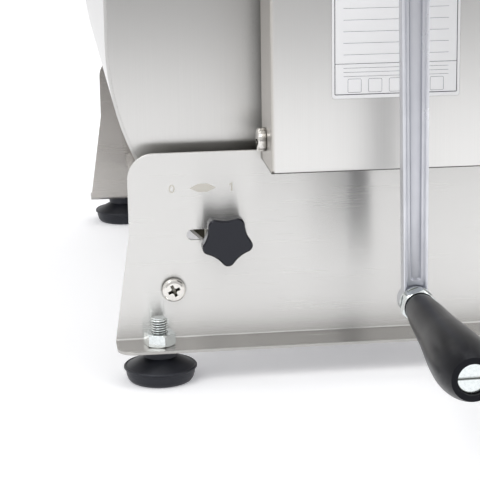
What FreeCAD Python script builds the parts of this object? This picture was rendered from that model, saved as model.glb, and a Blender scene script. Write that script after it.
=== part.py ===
import FreeCAD, Part
import math
import os
from FreeCAD import Vector

# A hand cranked meat mixer: two bent stands on rubber feet carry a tilting tank.
# A crank turns a pinion and a large gear, and the gear turns the paddles in the tank.
# X runs across the tank, Y along its axis and Z up. The crank is at the -Y end.
# The origin is on the floor under the middle of the machine's box. Sizes are in mm.

# Bent stand sheets
sheet = 1.5
bend_radius = 1.0
stand_half_width = 136.0
waist_half_width = 127.8
waist_height = 73.7
waist_radius = 14.0
shoulder_drop = 53.0
shoulder_radius = 13.0
flange_top = 18.2
flange_depth = 21.4
flange_corner_radius = 9.0
stand_spacing = 319.8
bend_relief = 3.0
far_neck_rise = 40.4
neck_flange_depth = 24.0
neck_corner_radius = 16.0

# Tank: half round trough with straight walls above its axis
axis_height = 166.6
tank_radius = 136.2
tank_sheet = 1.5
tank_wall_height = 133.4
tank_end_gap = 12.5
rim_width = 9.0
rim_lip = 7.0
rim_sheet = 1.5
rim_corner_radius = 6.0

# Clearances
running_clearance = 0.05
thread_clearance = 0.05
face_clearance = 0.3

# How far a cutting shape runs past the faces it cuts
past = 1.0

# Gears
gear_module = 2.0
gear_teeth = 48
pinion_teeth = 18
pressure_angle = 20.0
flank_backlash = 0.12
root_depth_ratio = 1.25
gear_tooth_angle = 90.0
gear_width = 10.0
pinion_width = 12.0
gear_out = 13.0
gear_web = 5.0
gear_rim_width = 6.0
gear_hub_radius = 17.0
gear_hole_count = 6
gear_hole_radius = 6.0

# Gear cover
cover_half_width = 60.5
cover_drop = 57.9
cover_depth = 36.1
cover_sheet = 1.2
cover_bend_radius = 2.2
cover_lip_radius = 1.3
cover_headroom = 32.0
cover_screw_low_rise = 13.0
cover_screw_high_drop = 16.0
cover_screw_out = 14.0
cover_boss_radius = 22.0
cover_boss_width = 5.0
corner_notch_radius = 0.9
corner_notch_inset = 0.7

# Tank pivots
journal_radius = 22.0
journal_step_radius = 28.0
trunnion_radius = 36.0
trunnion_flange = 6.0
spigot_radius = 18.0
spigot_reach = 5.5
pivot_bush_wall = 3.0
pivot_bush_flange = 3.0
pivot_bush_flange_radius = 31.0
pivot_housing_radius = 33.0
pivot_housing_width = 10.0
sleeve_wall = 3.0
sleeve_flange = 2.5
sleeve_flange_radius = 17.0
seal_width = 5.0
seal_radius = 16.0
seal_lip = 1.5

# Paddle drive and paddles
stub_radius = 10.0
stub_reach = 26.0
shaft_tube_radius = 14.0
shaft_end_gap = 1.5
far_spindle_radius = 8.0
far_spindle_reach = 26.0
far_spindle_head_radius = 15.0
far_spindle_head_width = 12.0
far_spindle_grooves = 12
far_spindle_groove_radius = 1.6
far_bush_length = 22.0
drive_pin_radius = 3.0
drive_pin_head_radius = 5.0
drive_pin_head_height = 3.0
drive_pin_tip = 8.0
drive_pin_chamfer = 1.0
drive_pin_out = 31.0
key_side = 6.0
paddle_count = 6
paddle_reach = 127.0
paddle_arm_width = 18.0
paddle_arm_sheet = 5.0
paddle_blade_width = 54.0
paddle_blade_height = 58.0
paddle_blade_sheet = 4.0
paddle_pitch_angle = 32.0
paddle_corner_radius = 8.0
paddle_end_gap = 3.0

# Crank
crank_reach = 178.6
crank_lean = 0.5
crank_shaft_radius = 8.0
crank_collar_radius = 10.0
crank_shaft_tail = 4.0
crank_bush_wall = 4.0
crank_bush_flange = 1.7
crank_bush_flange_radius = 16.0
crank_housing_radius = 20.0
crank_housing_width = 10.0
arm_out = 70.0
arm_thickness = 8.0
arm_top_half_width = 6.7
arm_bottom_half_width = 5.8
arm_edge_radius = 0.9
arm_step_rim = 2.1
arm_step_depth = 0.9
arm_step_slope = 0.8
arm_recess_rim = 3.9
arm_recess_depth = 2.2
arm_recess_slope = 0.45
arm_recess_rounding = 0.8
arm_blend_radius = 14.0
arm_hub_radius = 16.0
arm_hub_rear_radius = 12.5
arm_hub_proud = 3.0
arm_eye_radius = 7.6
arm_eye_proud = 0.4
arm_recess_gap = 3.5

# Crank grip
grip_out = 88.0
grip_length = 104.0
grip_profile = [(0.0, 7.1), (0.1, 8.2), (0.4, 10.2), (0.72, 13.0), (0.9, 12.4), (1.0, 9.5)]
grip_head_pocket = 6.0
spindle_radius = 4.0
spindle_head_radius = 6.5
spindle_head_height = 3.5
spindle_slot_depth = 1.5
spindle_slot_width = 1.4

# Fasteners
m6_radius = 3.0
m6_head_radius = 5.85
m6_head_height = 4.6
m6_head_profile = [(0.95, 0.0), (1.0, 0.06), (1.0, 0.6), (0.97, 0.8), (0.88, 0.92), (0.7, 0.98)]
m6_recess_length = 6.2
m6_recess_width = 1.5
m6_recess_depth = 2.8
m6_recess_mouth = 1.5
m6_recess_floor = 0.8
m6_recess_turn = 23.0
m8_radius = 4.0
m8_flats = 13.0
m8_nut_height = 6.5
m8_bolt_head_height = 5.3
m8_bolt_length = 18.0
m8_bolt_flange_radius = 11.5
m8_bolt_flange_height = 1.6
hex_chamfer = 0.9
stud_chamfer = 0.8
spindle_nut_flats = 15.0
spindle_nut_height = 7.0
spindle_nut_flange_radius = 8.1
spindle_nut_flange_height = 1.6
spindle_nut_turn = 18.4
foot_nut_flats = 14.0
foot_nut_turn = 44.5
bolt_turn = 9.0
tie_screw_length = 14.0
cover_screw_length = 9.0

# Tie rods
tie_rod_radius = 6.0
tie_rod_offset = 106.3
tie_rod_drop = 27.6

# Feet
foot_offset = 114.5
foot_out = 9.6
foot_base_radius = 14.3
foot_side_profile = [(0.85, 0.07), (0.9, 0.24), (0.935, 0.53), (0.95, 0.84)]
foot_rim_radius = 18.4
foot_rim_height = 7.5
foot_lip = 0.6
foot_dish_radius = 17.1
foot_cone_radius = 8.2
foot_cone_drop = 4.1
foot_collar_radius = 9.0
foot_collar_height = 3.3
foot_stud_top = 32.3
foot_hole_radius = 4.5
foot_stud_sink = 9.0

# Tilt lock
lock_tight_offset = 80.3
lock_drop = 95.0
lock_travel = 15.8
lock_stud_radius = 2.5
lock_slot_clearance = 0.2
lock_wedge_length = 17.0
lock_wedge_height = 16.0
lock_wedge_angle = 4.0
lock_guide_length = 42.0
lock_guide_height = 24.0
lock_guide_thickness = 3.0
lock_guide_overrun = 2.0
lock_guide_margin = 4.0
lock_guide_opening = 10.4
lock_head_radius = 5.5
lock_head_height = 2.5
lock_washer_radius = 6.5
lock_washer_height = 1.2
knob_tip_radius = 13.0
knob_lobes = 5
knob_lobe_radius = 3.4
knob_valley_radius = 10.3
knob_thickness = 8.1
knob_hub_radius = 6.5
knob_hub_length = 7.0
knob_edge_width = 0.7
knob_turn = -16.0

# Lid
lid_sheet = 1.2
lid_overlap = 1.2
lid_drop = 9.0
lid_corner_radius = 10.0
lid_panel_inset = 26.0
lid_panel_rise = 5.0
lid_panel_slope = 9.0
lid_panel_sink = 0.1
lid_handle_length = 116.0
lid_handle_height = 34.0
lid_handle_radius = 5.0
lid_handle_bend = 16.0
lid_handle_foot_radius = 8.5
lid_handle_foot_height = 2.0
lid_screw_depth = 14.0

# Places that follow from the sizes above
m6_hole_radius = m6_radius + thread_clearance
m8_tap_radius = m8_radius + thread_clearance
shoulder_height = axis_height - shoulder_drop
far_neck_top = axis_height + far_neck_rise
tank_top = axis_height + tank_wall_height
lock_height = axis_height - lock_drop
tie_rod_height = lock_height - tie_rod_drop
crank_axis_height = axis_height + gear_module * (gear_teeth + pinion_teeth) / 2
cover_top = crank_axis_height + cover_headroom
cover_bottom = axis_height - cover_drop
cover_screw_low = cover_bottom + cover_screw_low_rise
neck_half_width = cover_half_width - cover_sheet
neck_top = cover_top - cover_sheet
cover_screw_high = cover_top - cover_screw_high_drop
tank_end_out = -(sheet + tank_end_gap)
tank_inner_out = tank_end_out - tank_sheet
trunnion_face_out = tank_end_out + trunnion_flange
bush_flange_out = -(sheet + pivot_bush_flange)
journal_shoulder_out = bush_flange_out - face_clearance
pivot_bush_radius = journal_radius + running_clearance + pivot_bush_wall
sleeve_bore = stub_radius + running_clearance
sleeve_radius = sleeve_bore + sleeve_wall
spigot_end_out = tank_inner_out - spigot_reach + tank_sheet
gear_front_out = gear_out + gear_width
pinion_out = gear_out - (pinion_width - gear_width) / 2
pinion_front_out = pinion_out + pinion_width
crank_bush_bore = crank_shaft_radius + running_clearance
crank_bush_radius = crank_bush_bore + crank_bush_wall
cover_inner_out = cover_depth - cover_sheet
cover_boss_out = cover_inner_out - cover_boss_width
arm_front_out = arm_out + arm_thickness
hub_front_out = arm_front_out + arm_hub_proud
hub_rear_out = cover_depth + crank_bush_flange + face_clearance
eye_front_out = arm_front_out + arm_eye_proud
eye_height = crank_axis_height - crank_reach
flange_under = flange_top - sheet
spindle_end_out = grip_out + grip_length - grip_head_pocket
front_reach = grip_out + grip_length
rear_reach = foot_out + foot_rim_radius
overall_depth = front_reach + sheet + stand_spacing + sheet + rear_reach
crank_plate_y = front_reach - overall_depth / 2
far_plate_y = overall_depth / 2 - rear_reach
tank_near_y = crank_plate_y - tank_end_out
tank_far_y = far_plate_y + tank_end_out

FRONT = (Vector(1, 0, 0), Vector(0, 0, 1), Vector(0, 1, 0))
PLAN = (Vector(1, 0, 0), Vector(0, 1, 0), Vector(0, 0, 1))
SIDE = (Vector(0, 1, 0), Vector(0, 0, 1), Vector(1, 0, 0))
UP = Vector(0, 0, 1)
ALONG = Vector(0, 1, 0)
ACROSS = Vector(1, 0, 0)
ORIGIN = Vector(0, 0, 0)


def rounded_wire(corners, plane, level):
    """A closed outline through (a, b, radius) corners, rounded by tangent arcs."""
    across, up, through = plane
    points = [across * a + up * b + through * level for a, b, radius in corners]
    edges = []
    joints = []
    for index, corner in enumerate(corners):
        here = points[index]
        back = (points[index - 1] - here).normalize()
        ahead = (points[(index + 1) % len(points)] - here).normalize()
        radius = corner[2]
        if radius == 0:
            joints.append((here, here))
            continue
        half = back.getAngle(ahead) / 2
        reach = radius / math.tan(half)
        middle = (back + ahead).normalize() * (radius / math.sin(half) - radius)
        start = here + back * reach
        end = here + ahead * reach
        edges.append(Part.Arc(start, here + middle, end).toShape())
        joints.append((start, end))
    for index in range(len(joints)):
        start = joints[index - 1][1]
        end = joints[index][0]
        if start.distanceToPoint(end) > 1e-6:
            edges.append(Part.LineSegment(start, end).toShape())
    return Part.Wire(Part.__sortEdges__(edges))


def prism(corners, plane, start, end):
    """A rounded outline drawn out from start to end, square to its plane."""
    face = Part.Face(rounded_wire(corners, plane, start))
    return face.extrude(plane[2] * (end - start))


def turned(out_from, out_to, radius, height=axis_height, x=0.0):
    """A round bar along Y, between two distances out from the stand's outer face."""
    base = Vector(x, -out_to, height)
    return Part.makeCylinder(radius, out_to - out_from, base, ALONG)


def ring(out_from, out_to, outer, inner, height=axis_height, x=0.0):
    """A round bar along Y with a bore."""
    bore = turned(out_from - past, out_to + past, inner, height, x)
    return turned(out_from, out_to, outer, height, x).cut(bore)


def fused(shapes):
    """One solid from several that meet, with their seams merged."""
    return shapes[0].multiFuse(shapes[1:]).removeSplitter()


def group(shapes):
    """Several separate solids as one node."""
    return Part.makeCompound(shapes)


def at_crank_end(shape):
    """Moves a shape from the stand's own place to the crank end."""
    return shape.translated(Vector(0, crank_plate_y, 0))


def at_far_end(shape):
    """Turns a shape round and moves it to the far end."""
    turned_round = shape.rotated(ORIGIN, UP, 180)
    return turned_round.translated(Vector(0, far_plate_y, 0))


def revolved(outline, base, direction):
    """A solid of revolution from (radius, distance) points about a line."""
    side = UP if abs(direction.z) < 0.5 else ACROSS
    points = [base + side * radius + direction * along for radius, along in outline]
    face = Part.Face(Part.makePolygon(points + [points[0]]))
    return face.revolve(base, direction, 360)


def hexagon(flats, height, bore, base, direction, turn):
    """A hexagon nut or bolt head with chamfered corners, from base along direction."""
    corner = flats / math.sqrt(3)
    points = []
    for index in range(7):
        angle = math.radians(60 * index + turn)
        points.append(Vector(corner * math.cos(angle), corner * math.sin(angle), 0))
    body = Part.Face(Part.makePolygon(points)).extrude(UP * height)
    edge = flats / 2
    outline = [
        (0, 0),
        (edge, 0),
        (corner, hex_chamfer),
        (corner, height - hex_chamfer),
        (edge, height),
        (0, height),
    ]
    body = body.common(revolved(outline, ORIGIN, UP))
    if bore > 0:
        body = body.cut(Part.makeCylinder(bore, height + 2 * past, -UP * past, UP))
    body.Placement = FreeCAD.Placement(base, FreeCAD.Rotation(UP, direction))
    return body


def pan_head_screw(base, direction, shank, turn):
    """A cross head screw whose head sits on base and points along direction."""
    crown = [(share * m6_head_radius, rise * m6_head_height) for share, rise in m6_head_profile]
    outline = [(0, -shank), (m6_radius, -shank), (m6_radius, 0)]
    body = revolved(outline + crown + [(0, m6_head_height)], ORIGIN, UP)
    floor = m6_head_height - m6_recess_depth
    mouth = Part.makeCone(m6_recess_floor, m6_recess_mouth, m6_recess_depth, UP * floor)
    body = body.cut(mouth)
    for quarter in range(2):
        slot = Part.makeBox(m6_recess_length, m6_recess_width, m6_recess_depth + past)
        slot.translate(Vector(-m6_recess_length / 2, -m6_recess_width / 2, floor))
        slot.rotate(ORIGIN, UP, turn + 90 * quarter)
        body = body.cut(slot)
    body = body.removeSplitter()
    body.Placement = FreeCAD.Placement(base, FreeCAD.Rotation(UP, direction))
    return body


# Stands


def stand_blank(top):
    """The bent stand with its flange, neck and the neck's side flanges."""
    side_profile = [
        (0, shoulder_height, 0),
        (0, flange_top, bend_radius),
        (-flange_depth, flange_top, 0),
        (-flange_depth, flange_under, 0),
        (sheet, flange_under, bend_radius + sheet),
        (sheet, shoulder_height, 0),
    ]
    front_outline = [
        (-stand_half_width, 0, 0),
        (-stand_half_width, flange_top, 0),
        (-waist_half_width, waist_height, waist_radius),
        (-waist_half_width, shoulder_height, shoulder_radius),
        (waist_half_width, shoulder_height, shoulder_radius),
        (waist_half_width, waist_height, waist_radius),
        (stand_half_width, flange_top, 0),
        (stand_half_width, 0, 0),
    ]
    plan_outline = [
        (-stand_half_width, sheet, 0),
        (-stand_half_width, -flange_depth, flange_corner_radius),
        (stand_half_width, -flange_depth, flange_corner_radius),
        (stand_half_width, sheet, 0),
    ]
    lower = prism(side_profile, SIDE, -stand_half_width, stand_half_width)
    lower = lower.common(prism(front_outline, FRONT, -flange_depth, sheet))
    lower = lower.common(prism(plan_outline, PLAN, 0, shoulder_height))
    edge = neck_half_width
    inner = edge - sheet
    neck_plan = [
        (-edge, -neck_flange_depth, 0),
        (-edge, sheet, bend_radius + sheet),
        (edge, sheet, bend_radius + sheet),
        (edge, -neck_flange_depth, 0),
        (inner, -neck_flange_depth, 0),
        (inner, 0, bend_radius),
        (-inner, 0, bend_radius),
        (-inner, -neck_flange_depth, 0),
    ]
    neck = prism(neck_plan, PLAN, shoulder_height + bend_relief, top)
    root_half_width = inner - bend_radius
    root = Part.makeBox(2 * root_half_width, sheet, 2 * bend_relief)
    root.translate(Vector(-root_half_width, 0, shoulder_height - bend_relief))
    return fused([lower, neck, root])


def stand_holes():
    """Holes that both stands share: feet, tie rod screws and the tank pivot."""
    holes = [turned(-2 * sheet, sheet, pivot_bush_radius)]
    for side in (-1, 1):
        foot = Vector(side * foot_offset, -foot_out, 0)
        holes.append(Part.makeCylinder(foot_hole_radius, 2 * flange_top, foot, UP))
        screw_x = side * tie_rod_offset
        holes.append(turned(-2 * sheet, sheet, m6_hole_radius, tie_rod_height, screw_x))
    return holes


def lock_slot():
    """The slot that the tilt lock's stud slides in."""
    radius = lock_stud_radius + lock_slot_clearance
    left = -lock_tight_offset - lock_travel
    straight = Part.makeBox(lock_travel, 3 * sheet, 2 * radius)
    straight.translate(Vector(left, -sheet, lock_height - radius))
    left_end = turned(-2 * sheet, sheet, radius, lock_height, left)
    right_end = turned(-2 * sheet, sheet, radius, lock_height, -lock_tight_offset)
    return fused([straight, left_end, right_end])


def cover_screw_places():
    """Side, height and direction of each screw that holds the gear cover."""
    places = []
    for side in (-1, 1):
        for height in (cover_screw_low, cover_screw_high):
            places.append((Vector(side * cover_half_width, -cover_screw_out, height), Vector(side, 0, 0)))
    return places


def crank_stand():
    """The stand under the crank, whose neck also carries the gears and their cover."""
    holes = stand_holes()
    holes.append(lock_slot())
    holes.append(turned(-2 * sheet, sheet, crank_bush_radius, crank_axis_height))
    for place, direction in cover_screw_places():
        inward = place - direction * 2 * (cover_sheet + sheet)
        holes.append(Part.makeCylinder(m6_hole_radius, 3 * (cover_sheet + sheet), inward, direction))
    return stand_blank(neck_top).cut(holes)


def far_stand():
    """The stand at the other end, with a lower neck that only carries the tank."""
    crown_foot = far_neck_top - 2 * neck_corner_radius
    crown_outline = [
        (-neck_half_width, crown_foot, 0),
        (-neck_half_width, far_neck_top, neck_corner_radius),
        (neck_half_width, far_neck_top, neck_corner_radius),
        (neck_half_width, crown_foot, 0),
    ]
    crown = prism(crown_outline, FRONT, -neck_flange_depth, sheet)
    below = Part.makeBox(2 * stand_half_width, neck_flange_depth + sheet, crown_foot)
    below.translate(Vector(-stand_half_width, -neck_flange_depth, 0))
    return stand_blank(far_neck_top).common(fused([crown, below])).cut(stand_holes())


def tie_rods():
    """Two rods between the stands, tapped at each end."""
    rods = []
    for side in (-1, 1):
        base = Vector(side * tie_rod_offset, crank_plate_y + sheet, tie_rod_height)
        rod = Part.makeCylinder(tie_rod_radius, stand_spacing, base, ALONG)
        tap = Part.makeCylinder(m6_hole_radius, tie_screw_length, base, ALONG)
        far_base = base + ALONG * (stand_spacing - tie_screw_length)
        far_tap = Part.makeCylinder(m6_hole_radius, tie_screw_length, far_base, ALONG)
        rods.append(rod.cut([tap, far_tap]))
    return group(rods)


def tie_rod_screws():
    """The four screws that pull the stands against the tie rods."""
    screws = []
    for side in (-1, 1):
        head = Vector(side * tie_rod_offset, 0, tie_rod_height)
        screw = pan_head_screw(head, -ALONG, tie_screw_length - face_clearance, m6_recess_turn)
        screws.append(at_crank_end(screw))
        screws.append(at_far_end(screw))
    return group(screws)


# Feet


def foot_places():
    """Where the four feet stand, in the order crank left, crank right, far left, far right."""
    crank_y = crank_plate_y - foot_out
    far_y = far_plate_y + foot_out
    return [Vector(side * foot_offset, y, 0) for y in (crank_y, far_y) for side in (-1, 1)]


def foot_pad(place):
    """A cup shaped rubber foot with a lip round its top, a cone and a collar under the flange."""
    side = [(share * foot_rim_radius, rise * foot_rim_height) for share, rise in foot_side_profile]
    collar_root = flange_under - foot_collar_height
    outline = [(0, 0), (foot_base_radius, 0)] + side + [
        (foot_rim_radius, foot_rim_height - foot_lip),
        (foot_rim_radius, foot_rim_height),
        (foot_rim_radius - foot_lip, foot_rim_height + foot_lip),
        (foot_dish_radius, foot_rim_height + foot_lip / 2),
        (foot_cone_radius, flange_under - foot_cone_drop),
        (foot_cone_radius, collar_root),
        (foot_collar_radius, collar_root),
        (foot_collar_radius, flange_under),
        (0, flange_under),
    ]
    body = revolved(outline, place, UP)
    sink = flange_under - foot_stud_sink
    bore = Part.makeCylinder(m8_radius, foot_stud_sink, place + UP * sink, UP)
    return body.cut(bore)


def foot_stud(place):
    """The threaded stud moulded into a foot, with a small chamfer at its top."""
    sink = flange_under - foot_stud_sink
    outline = [
        (0, sink),
        (m8_radius, sink),
        (m8_radius, foot_stud_top - stud_chamfer),
        (m8_radius - stud_chamfer, foot_stud_top),
        (0, foot_stud_top),
    ]
    return revolved(outline, place, UP)


def foot_locknuts():
    """The nuts that lock the four feet on the flanges."""
    bore = m8_radius + running_clearance
    return group([
        hexagon(foot_nut_flats, m8_nut_height, bore, place + UP * flange_top, UP, foot_nut_turn)
        for place in foot_places()
    ])


# Bearings on the stands


def pivot_housing():
    """The ring welded to a stand's neck that holds the pivot bush."""
    return ring(0, pivot_housing_width, pivot_housing_radius, pivot_bush_radius)


def pivot_bush():
    """A flanged bush between the neck and the tank, on which the tank tilts."""
    bore = journal_radius + running_clearance
    body = ring(-sheet, pivot_housing_width, pivot_bush_radius, bore)
    flange = ring(bush_flange_out, -sheet, pivot_bush_flange_radius, bore)
    return fused([body, flange])


def crank_rear_housing():
    """The ring welded to the neck that holds the crank shaft's rear bush."""
    return ring(0, crank_housing_width, crank_housing_radius, crank_bush_radius, crank_axis_height)


def crank_rear_bush():
    """The flanged bush at the back of the crank shaft."""
    height = crank_axis_height
    body = ring(-sheet, crank_housing_width, crank_bush_radius, crank_bush_bore, height)
    flange_end = crank_housing_width + crank_bush_flange
    flange = ring(crank_housing_width, flange_end, crank_bush_flange_radius, crank_bush_bore, height)
    return fused([body, flange])


# Gear cover


def cover_block(inset):
    """The cover's folded form, drawn in by a distance from its outer faces."""
    half = cover_half_width - inset
    front = -cover_depth + inset
    low = cover_bottom + inset
    high = cover_top - inset
    bend = max(cover_bend_radius - inset, 0)
    lip = max(cover_lip_radius - inset, 0)
    plan = [(-half, front, bend), (half, front, bend), (half, 0, 0), (-half, 0, 0)]
    side = [(front, low, lip), (front, high, bend), (0, high, 0), (0, low, 0)]
    return prism(plan, PLAN, low, high).common(prism(side, SIDE, -half, half))


def gear_cover():
    """A folded box open at the back, with side screws and a hole for the crank shaft."""
    shell = cover_block(0).cut(cover_block(cover_sheet))
    cuts = [turned(cover_inner_out - past, cover_depth + past, crank_bush_radius, crank_axis_height)]
    for place, direction in cover_screw_places():
        start = place - direction * 2 * cover_sheet
        cuts.append(Part.makeCylinder(m6_hole_radius, 3 * cover_sheet, start, direction))
    inset = corner_notch_inset
    for side in (-1, 1):
        corner = Vector(side * (cover_half_width - inset), inset - cover_depth, cover_bottom + inset)
        cuts.append(Part.makeSphere(corner_notch_radius, corner))
    return shell.cut(cuts)


def front_edges(shape, level):
    """The edges of a shape that lie wholly in the plane y = level."""
    edges = []
    for edge in shape.Edges:
        if all(abs(vertex.Y - level) < 1e-6 for vertex in edge.Vertexes):
            edges.append(edge)
    return edges


def cover_boss():
    """The ring welded inside the cover's front that holds the front bush."""
    return ring(cover_boss_out, cover_inner_out, cover_boss_radius, crank_bush_radius, crank_axis_height)


def cover_bush():
    """The flanged bush at the front of the crank shaft, seen on the cover."""
    height = crank_axis_height
    body = ring(cover_boss_out, cover_depth, crank_bush_radius, crank_bush_bore, height)
    flange_end = cover_depth + crank_bush_flange
    flange = ring(cover_depth, flange_end, crank_bush_flange_radius, crank_bush_bore, height)
    return fused([body, flange])


def cover_screws():
    """Four cross head screws through the cover's sides into the neck's flanges."""
    screws = []
    for place, direction in cover_screw_places():
        screws.append(pan_head_screw(place, direction, cover_screw_length, m6_recess_turn))
    return group(screws)


# Tank


def trough_outline(radius, top):
    """The trough's end view: half round below its axis and straight above."""
    left = Vector(-radius, 0, axis_height)
    right = Vector(radius, 0, axis_height)
    bottom = Vector(0, 0, axis_height - radius)
    left_top = Vector(-radius, 0, top)
    right_top = Vector(radius, 0, top)
    return Part.Face(Part.Wire([
        Part.Arc(left, bottom, right).toShape(),
        Part.LineSegment(right, right_top).toShape(),
        Part.LineSegment(right_top, left_top).toShape(),
        Part.LineSegment(left_top, left).toShape(),
    ]))


def trough(radius, top, start, end):
    """The trough's outline drawn out along Y from start to end."""
    face = trough_outline(radius, top)
    face.translate(Vector(0, start, 0))
    return face.extrude(ALONG * (end - start))


def tank_shell():
    """The rolled sheet that makes the tank's round bottom and straight sides."""
    outer = trough(tank_radius, tank_top, tank_near_y, tank_far_y)
    inner = trough(tank_radius - tank_sheet, tank_top + past, tank_near_y - past, tank_far_y + past)
    return outer.cut(inner)


def tank_end_plate():
    """An end of the tank, inside the shell and welded to it all round."""
    inside = tank_radius - tank_sheet
    plate = trough(inside, tank_top, -tank_end_out, -tank_inner_out)
    return plate.cut(turned(tank_inner_out - past, tank_end_out + past, spigot_radius))


def tank_rim():
    """The outward folded rim round the tank's mouth."""
    near = tank_near_y - rim_width
    far = tank_far_y + rim_width
    half = tank_radius + rim_width
    radius = rim_corner_radius
    outline = [(-half, near, radius), (half, near, radius), (half, far, radius), (-half, far, radius)]
    outer = prism(outline, PLAN, tank_top - rim_lip, tank_top)
    inset = rim_sheet
    under = [
        (-half + inset, near + inset, radius - inset),
        (half - inset, near + inset, radius - inset),
        (half - inset, far - inset, radius - inset),
        (-half + inset, far - inset, radius - inset),
    ]
    hollow = prism(under, PLAN, tank_top - rim_lip - past, tank_top - rim_sheet)
    mouth = Part.makeBox(2 * tank_radius, tank_far_y - tank_near_y, 2 * rim_lip)
    mouth.translate(Vector(-tank_radius, tank_near_y, tank_top - rim_lip - past))
    return outer.cut([hollow, mouth])


def trunnion(bore, seal_pocket):
    """A turned hub welded to a tank end, with the journal that turns in the bush."""
    parts = [
        turned(tank_end_out, trunnion_face_out, trunnion_radius),
        turned(trunnion_face_out, journal_shoulder_out, journal_step_radius),
        turned(journal_shoulder_out, pivot_housing_width, journal_radius),
        turned(spigot_end_out, tank_end_out, spigot_radius),
    ]
    body = fused(parts)
    cuts = [turned(spigot_end_out - past, pivot_housing_width + past, bore)]
    if seal_pocket:
        cuts.append(turned(spigot_end_out - past, spigot_end_out + seal_width, seal_radius))
    return body.cut(cuts)


def drive_sleeve():
    """The flanged bush in the crank end trunnion, in which the drive stub turns."""
    start = spigot_end_out + seal_width
    body = ring(start, pivot_housing_width, sleeve_radius, sleeve_bore)
    flange_end = pivot_housing_width + sleeve_flange
    flange = ring(pivot_housing_width, flange_end, sleeve_flange_radius, sleeve_bore)
    return fused([body, flange])


def shaft_seal():
    """The lip seal that keeps the meat out of the crank end trunnion."""
    start = spigot_end_out
    body = ring(start, start + seal_width, seal_radius, sleeve_bore)
    groove = ring(start - past, start + seal_width / 2, seal_radius - seal_lip, sleeve_bore + seal_lip)
    return body.cut(groove)


def far_spindle():
    """The hand screw at the far end, whose plain nose carries the paddle shaft."""
    nose_out = spigot_end_out - far_spindle_reach
    head_out = pivot_housing_width + face_clearance
    head_end = head_out + far_spindle_head_width
    nose = turned(nose_out, head_out, far_spindle_radius)
    head = turned(head_out, head_end, far_spindle_head_radius)
    grooves = []
    for index in range(far_spindle_grooves):
        angle = 2 * math.pi * index / far_spindle_grooves
        x = far_spindle_head_radius * math.cos(angle)
        height = axis_height + far_spindle_head_radius * math.sin(angle)
        grooves.append(turned(head_out - past, head_end + past, far_spindle_groove_radius, height, x))
    return fused([nose, head.cut(grooves)])


# Paddle drive


def gear_outline(teeth, turn):
    """A gear's outline about the origin, its tooth flanks as arcs fitted to the involute."""
    pitch = gear_module * teeth / 2
    base = pitch * math.cos(math.radians(pressure_angle))
    root = pitch - root_depth_ratio * gear_module
    tip = pitch + gear_module
    flank_start = max(base, root)

    def involute(radius):
        reach = math.sqrt(max((radius / base) ** 2 - 1, 0))
        return reach - math.atan(reach)

    half_tooth = math.pi / (2 * teeth) - flank_backlash / (2 * pitch)
    at_pitch = involute(pitch)

    def point(radius, angle):
        return Vector(radius * math.cos(angle), 0, radius * math.sin(angle))

    def flank_angle(radius):
        return half_tooth + at_pitch - involute(radius)

    edges = []
    step = 2 * math.pi / teeth
    middle_radius = (flank_start + tip) / 2
    for tooth in range(teeth):
        centre = tooth * step + math.radians(turn)
        rising_foot = point(flank_start, centre - flank_angle(flank_start))
        rising_middle = point(middle_radius, centre - flank_angle(middle_radius))
        rising_tip = point(tip, centre - flank_angle(tip))
        falling_tip = point(tip, centre + flank_angle(tip))
        falling_middle = point(middle_radius, centre + flank_angle(middle_radius))
        falling_foot = point(flank_start, centre + flank_angle(flank_start))
        edges.append(Part.Arc(rising_foot, rising_middle, rising_tip).toShape())
        edges.append(Part.LineSegment(rising_tip, falling_tip).toShape())
        edges.append(Part.Arc(falling_tip, falling_middle, falling_foot).toShape())
        root_start = point(root, centre + flank_angle(flank_start))
        root_end = point(root, centre + step - flank_angle(flank_start))
        if flank_start > root:
            edges.append(Part.LineSegment(falling_foot, root_start).toShape())
        edges.append(Part.LineSegment(root_start, root_end).toShape())
        if flank_start > root:
            next_foot = point(flank_start, centre + step - flank_angle(flank_start))
            edges.append(Part.LineSegment(root_end, next_foot).toShape())
    return Part.Wire(edges)


def gear_blank(teeth, turn, out_from, out_to, height):
    """A toothed disc on an axis along Y."""
    face = Part.Face(gear_outline(teeth, turn))
    face.translate(Vector(0, -out_to, height))
    return face.extrude(ALONG * (out_to - out_from))


def paddle_gear():
    """The large gear, with a thin web, lightening holes, a hub and a keyway."""
    pitch = gear_module * gear_teeth / 2
    rim_inner = pitch - root_depth_ratio * gear_module - gear_rim_width
    blank = gear_blank(gear_teeth, gear_tooth_angle, gear_out, gear_front_out, axis_height)
    pocket_depth = (gear_width - gear_web) / 2
    cuts = [
        ring(gear_out - past, gear_out + pocket_depth, rim_inner, gear_hub_radius),
        ring(gear_front_out - pocket_depth, gear_front_out + past, rim_inner, gear_hub_radius),
        turned(gear_out - past, gear_front_out + past, stub_radius),
        key_block(gear_out - past, gear_front_out + past),
    ]
    hole_circle = (rim_inner + gear_hub_radius) / 2
    for index in range(gear_hole_count):
        angle = 2 * math.pi * (index + 0.5) / gear_hole_count
        x = hole_circle * math.cos(angle)
        height = axis_height + hole_circle * math.sin(angle)
        cuts.append(turned(gear_out, gear_front_out, gear_hole_radius, height, x))
    return blank.cut(cuts)


def key_block(out_from, out_to):
    """The square key on top of the drive stub, half in the stub and half in the gear."""
    block = Part.makeBox(key_side, out_to - out_from, key_side)
    return block.translated(Vector(-key_side / 2, -out_to, axis_height + stub_radius - key_side / 2))


def drive_stub():
    """The shaft that carries the gear outside and the paddle shaft inside the tank."""
    inner_end = spigot_end_out - stub_reach
    front = gear_front_out - face_clearance
    body = turned(inner_end, front, stub_radius)
    pin_hole = cross_hole(drive_pin_radius)
    tap = turned(front - m8_bolt_length, front + past, m8_tap_radius)
    keyway = key_block(gear_out, gear_front_out)
    return body.cut([pin_hole, tap, keyway])


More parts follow.
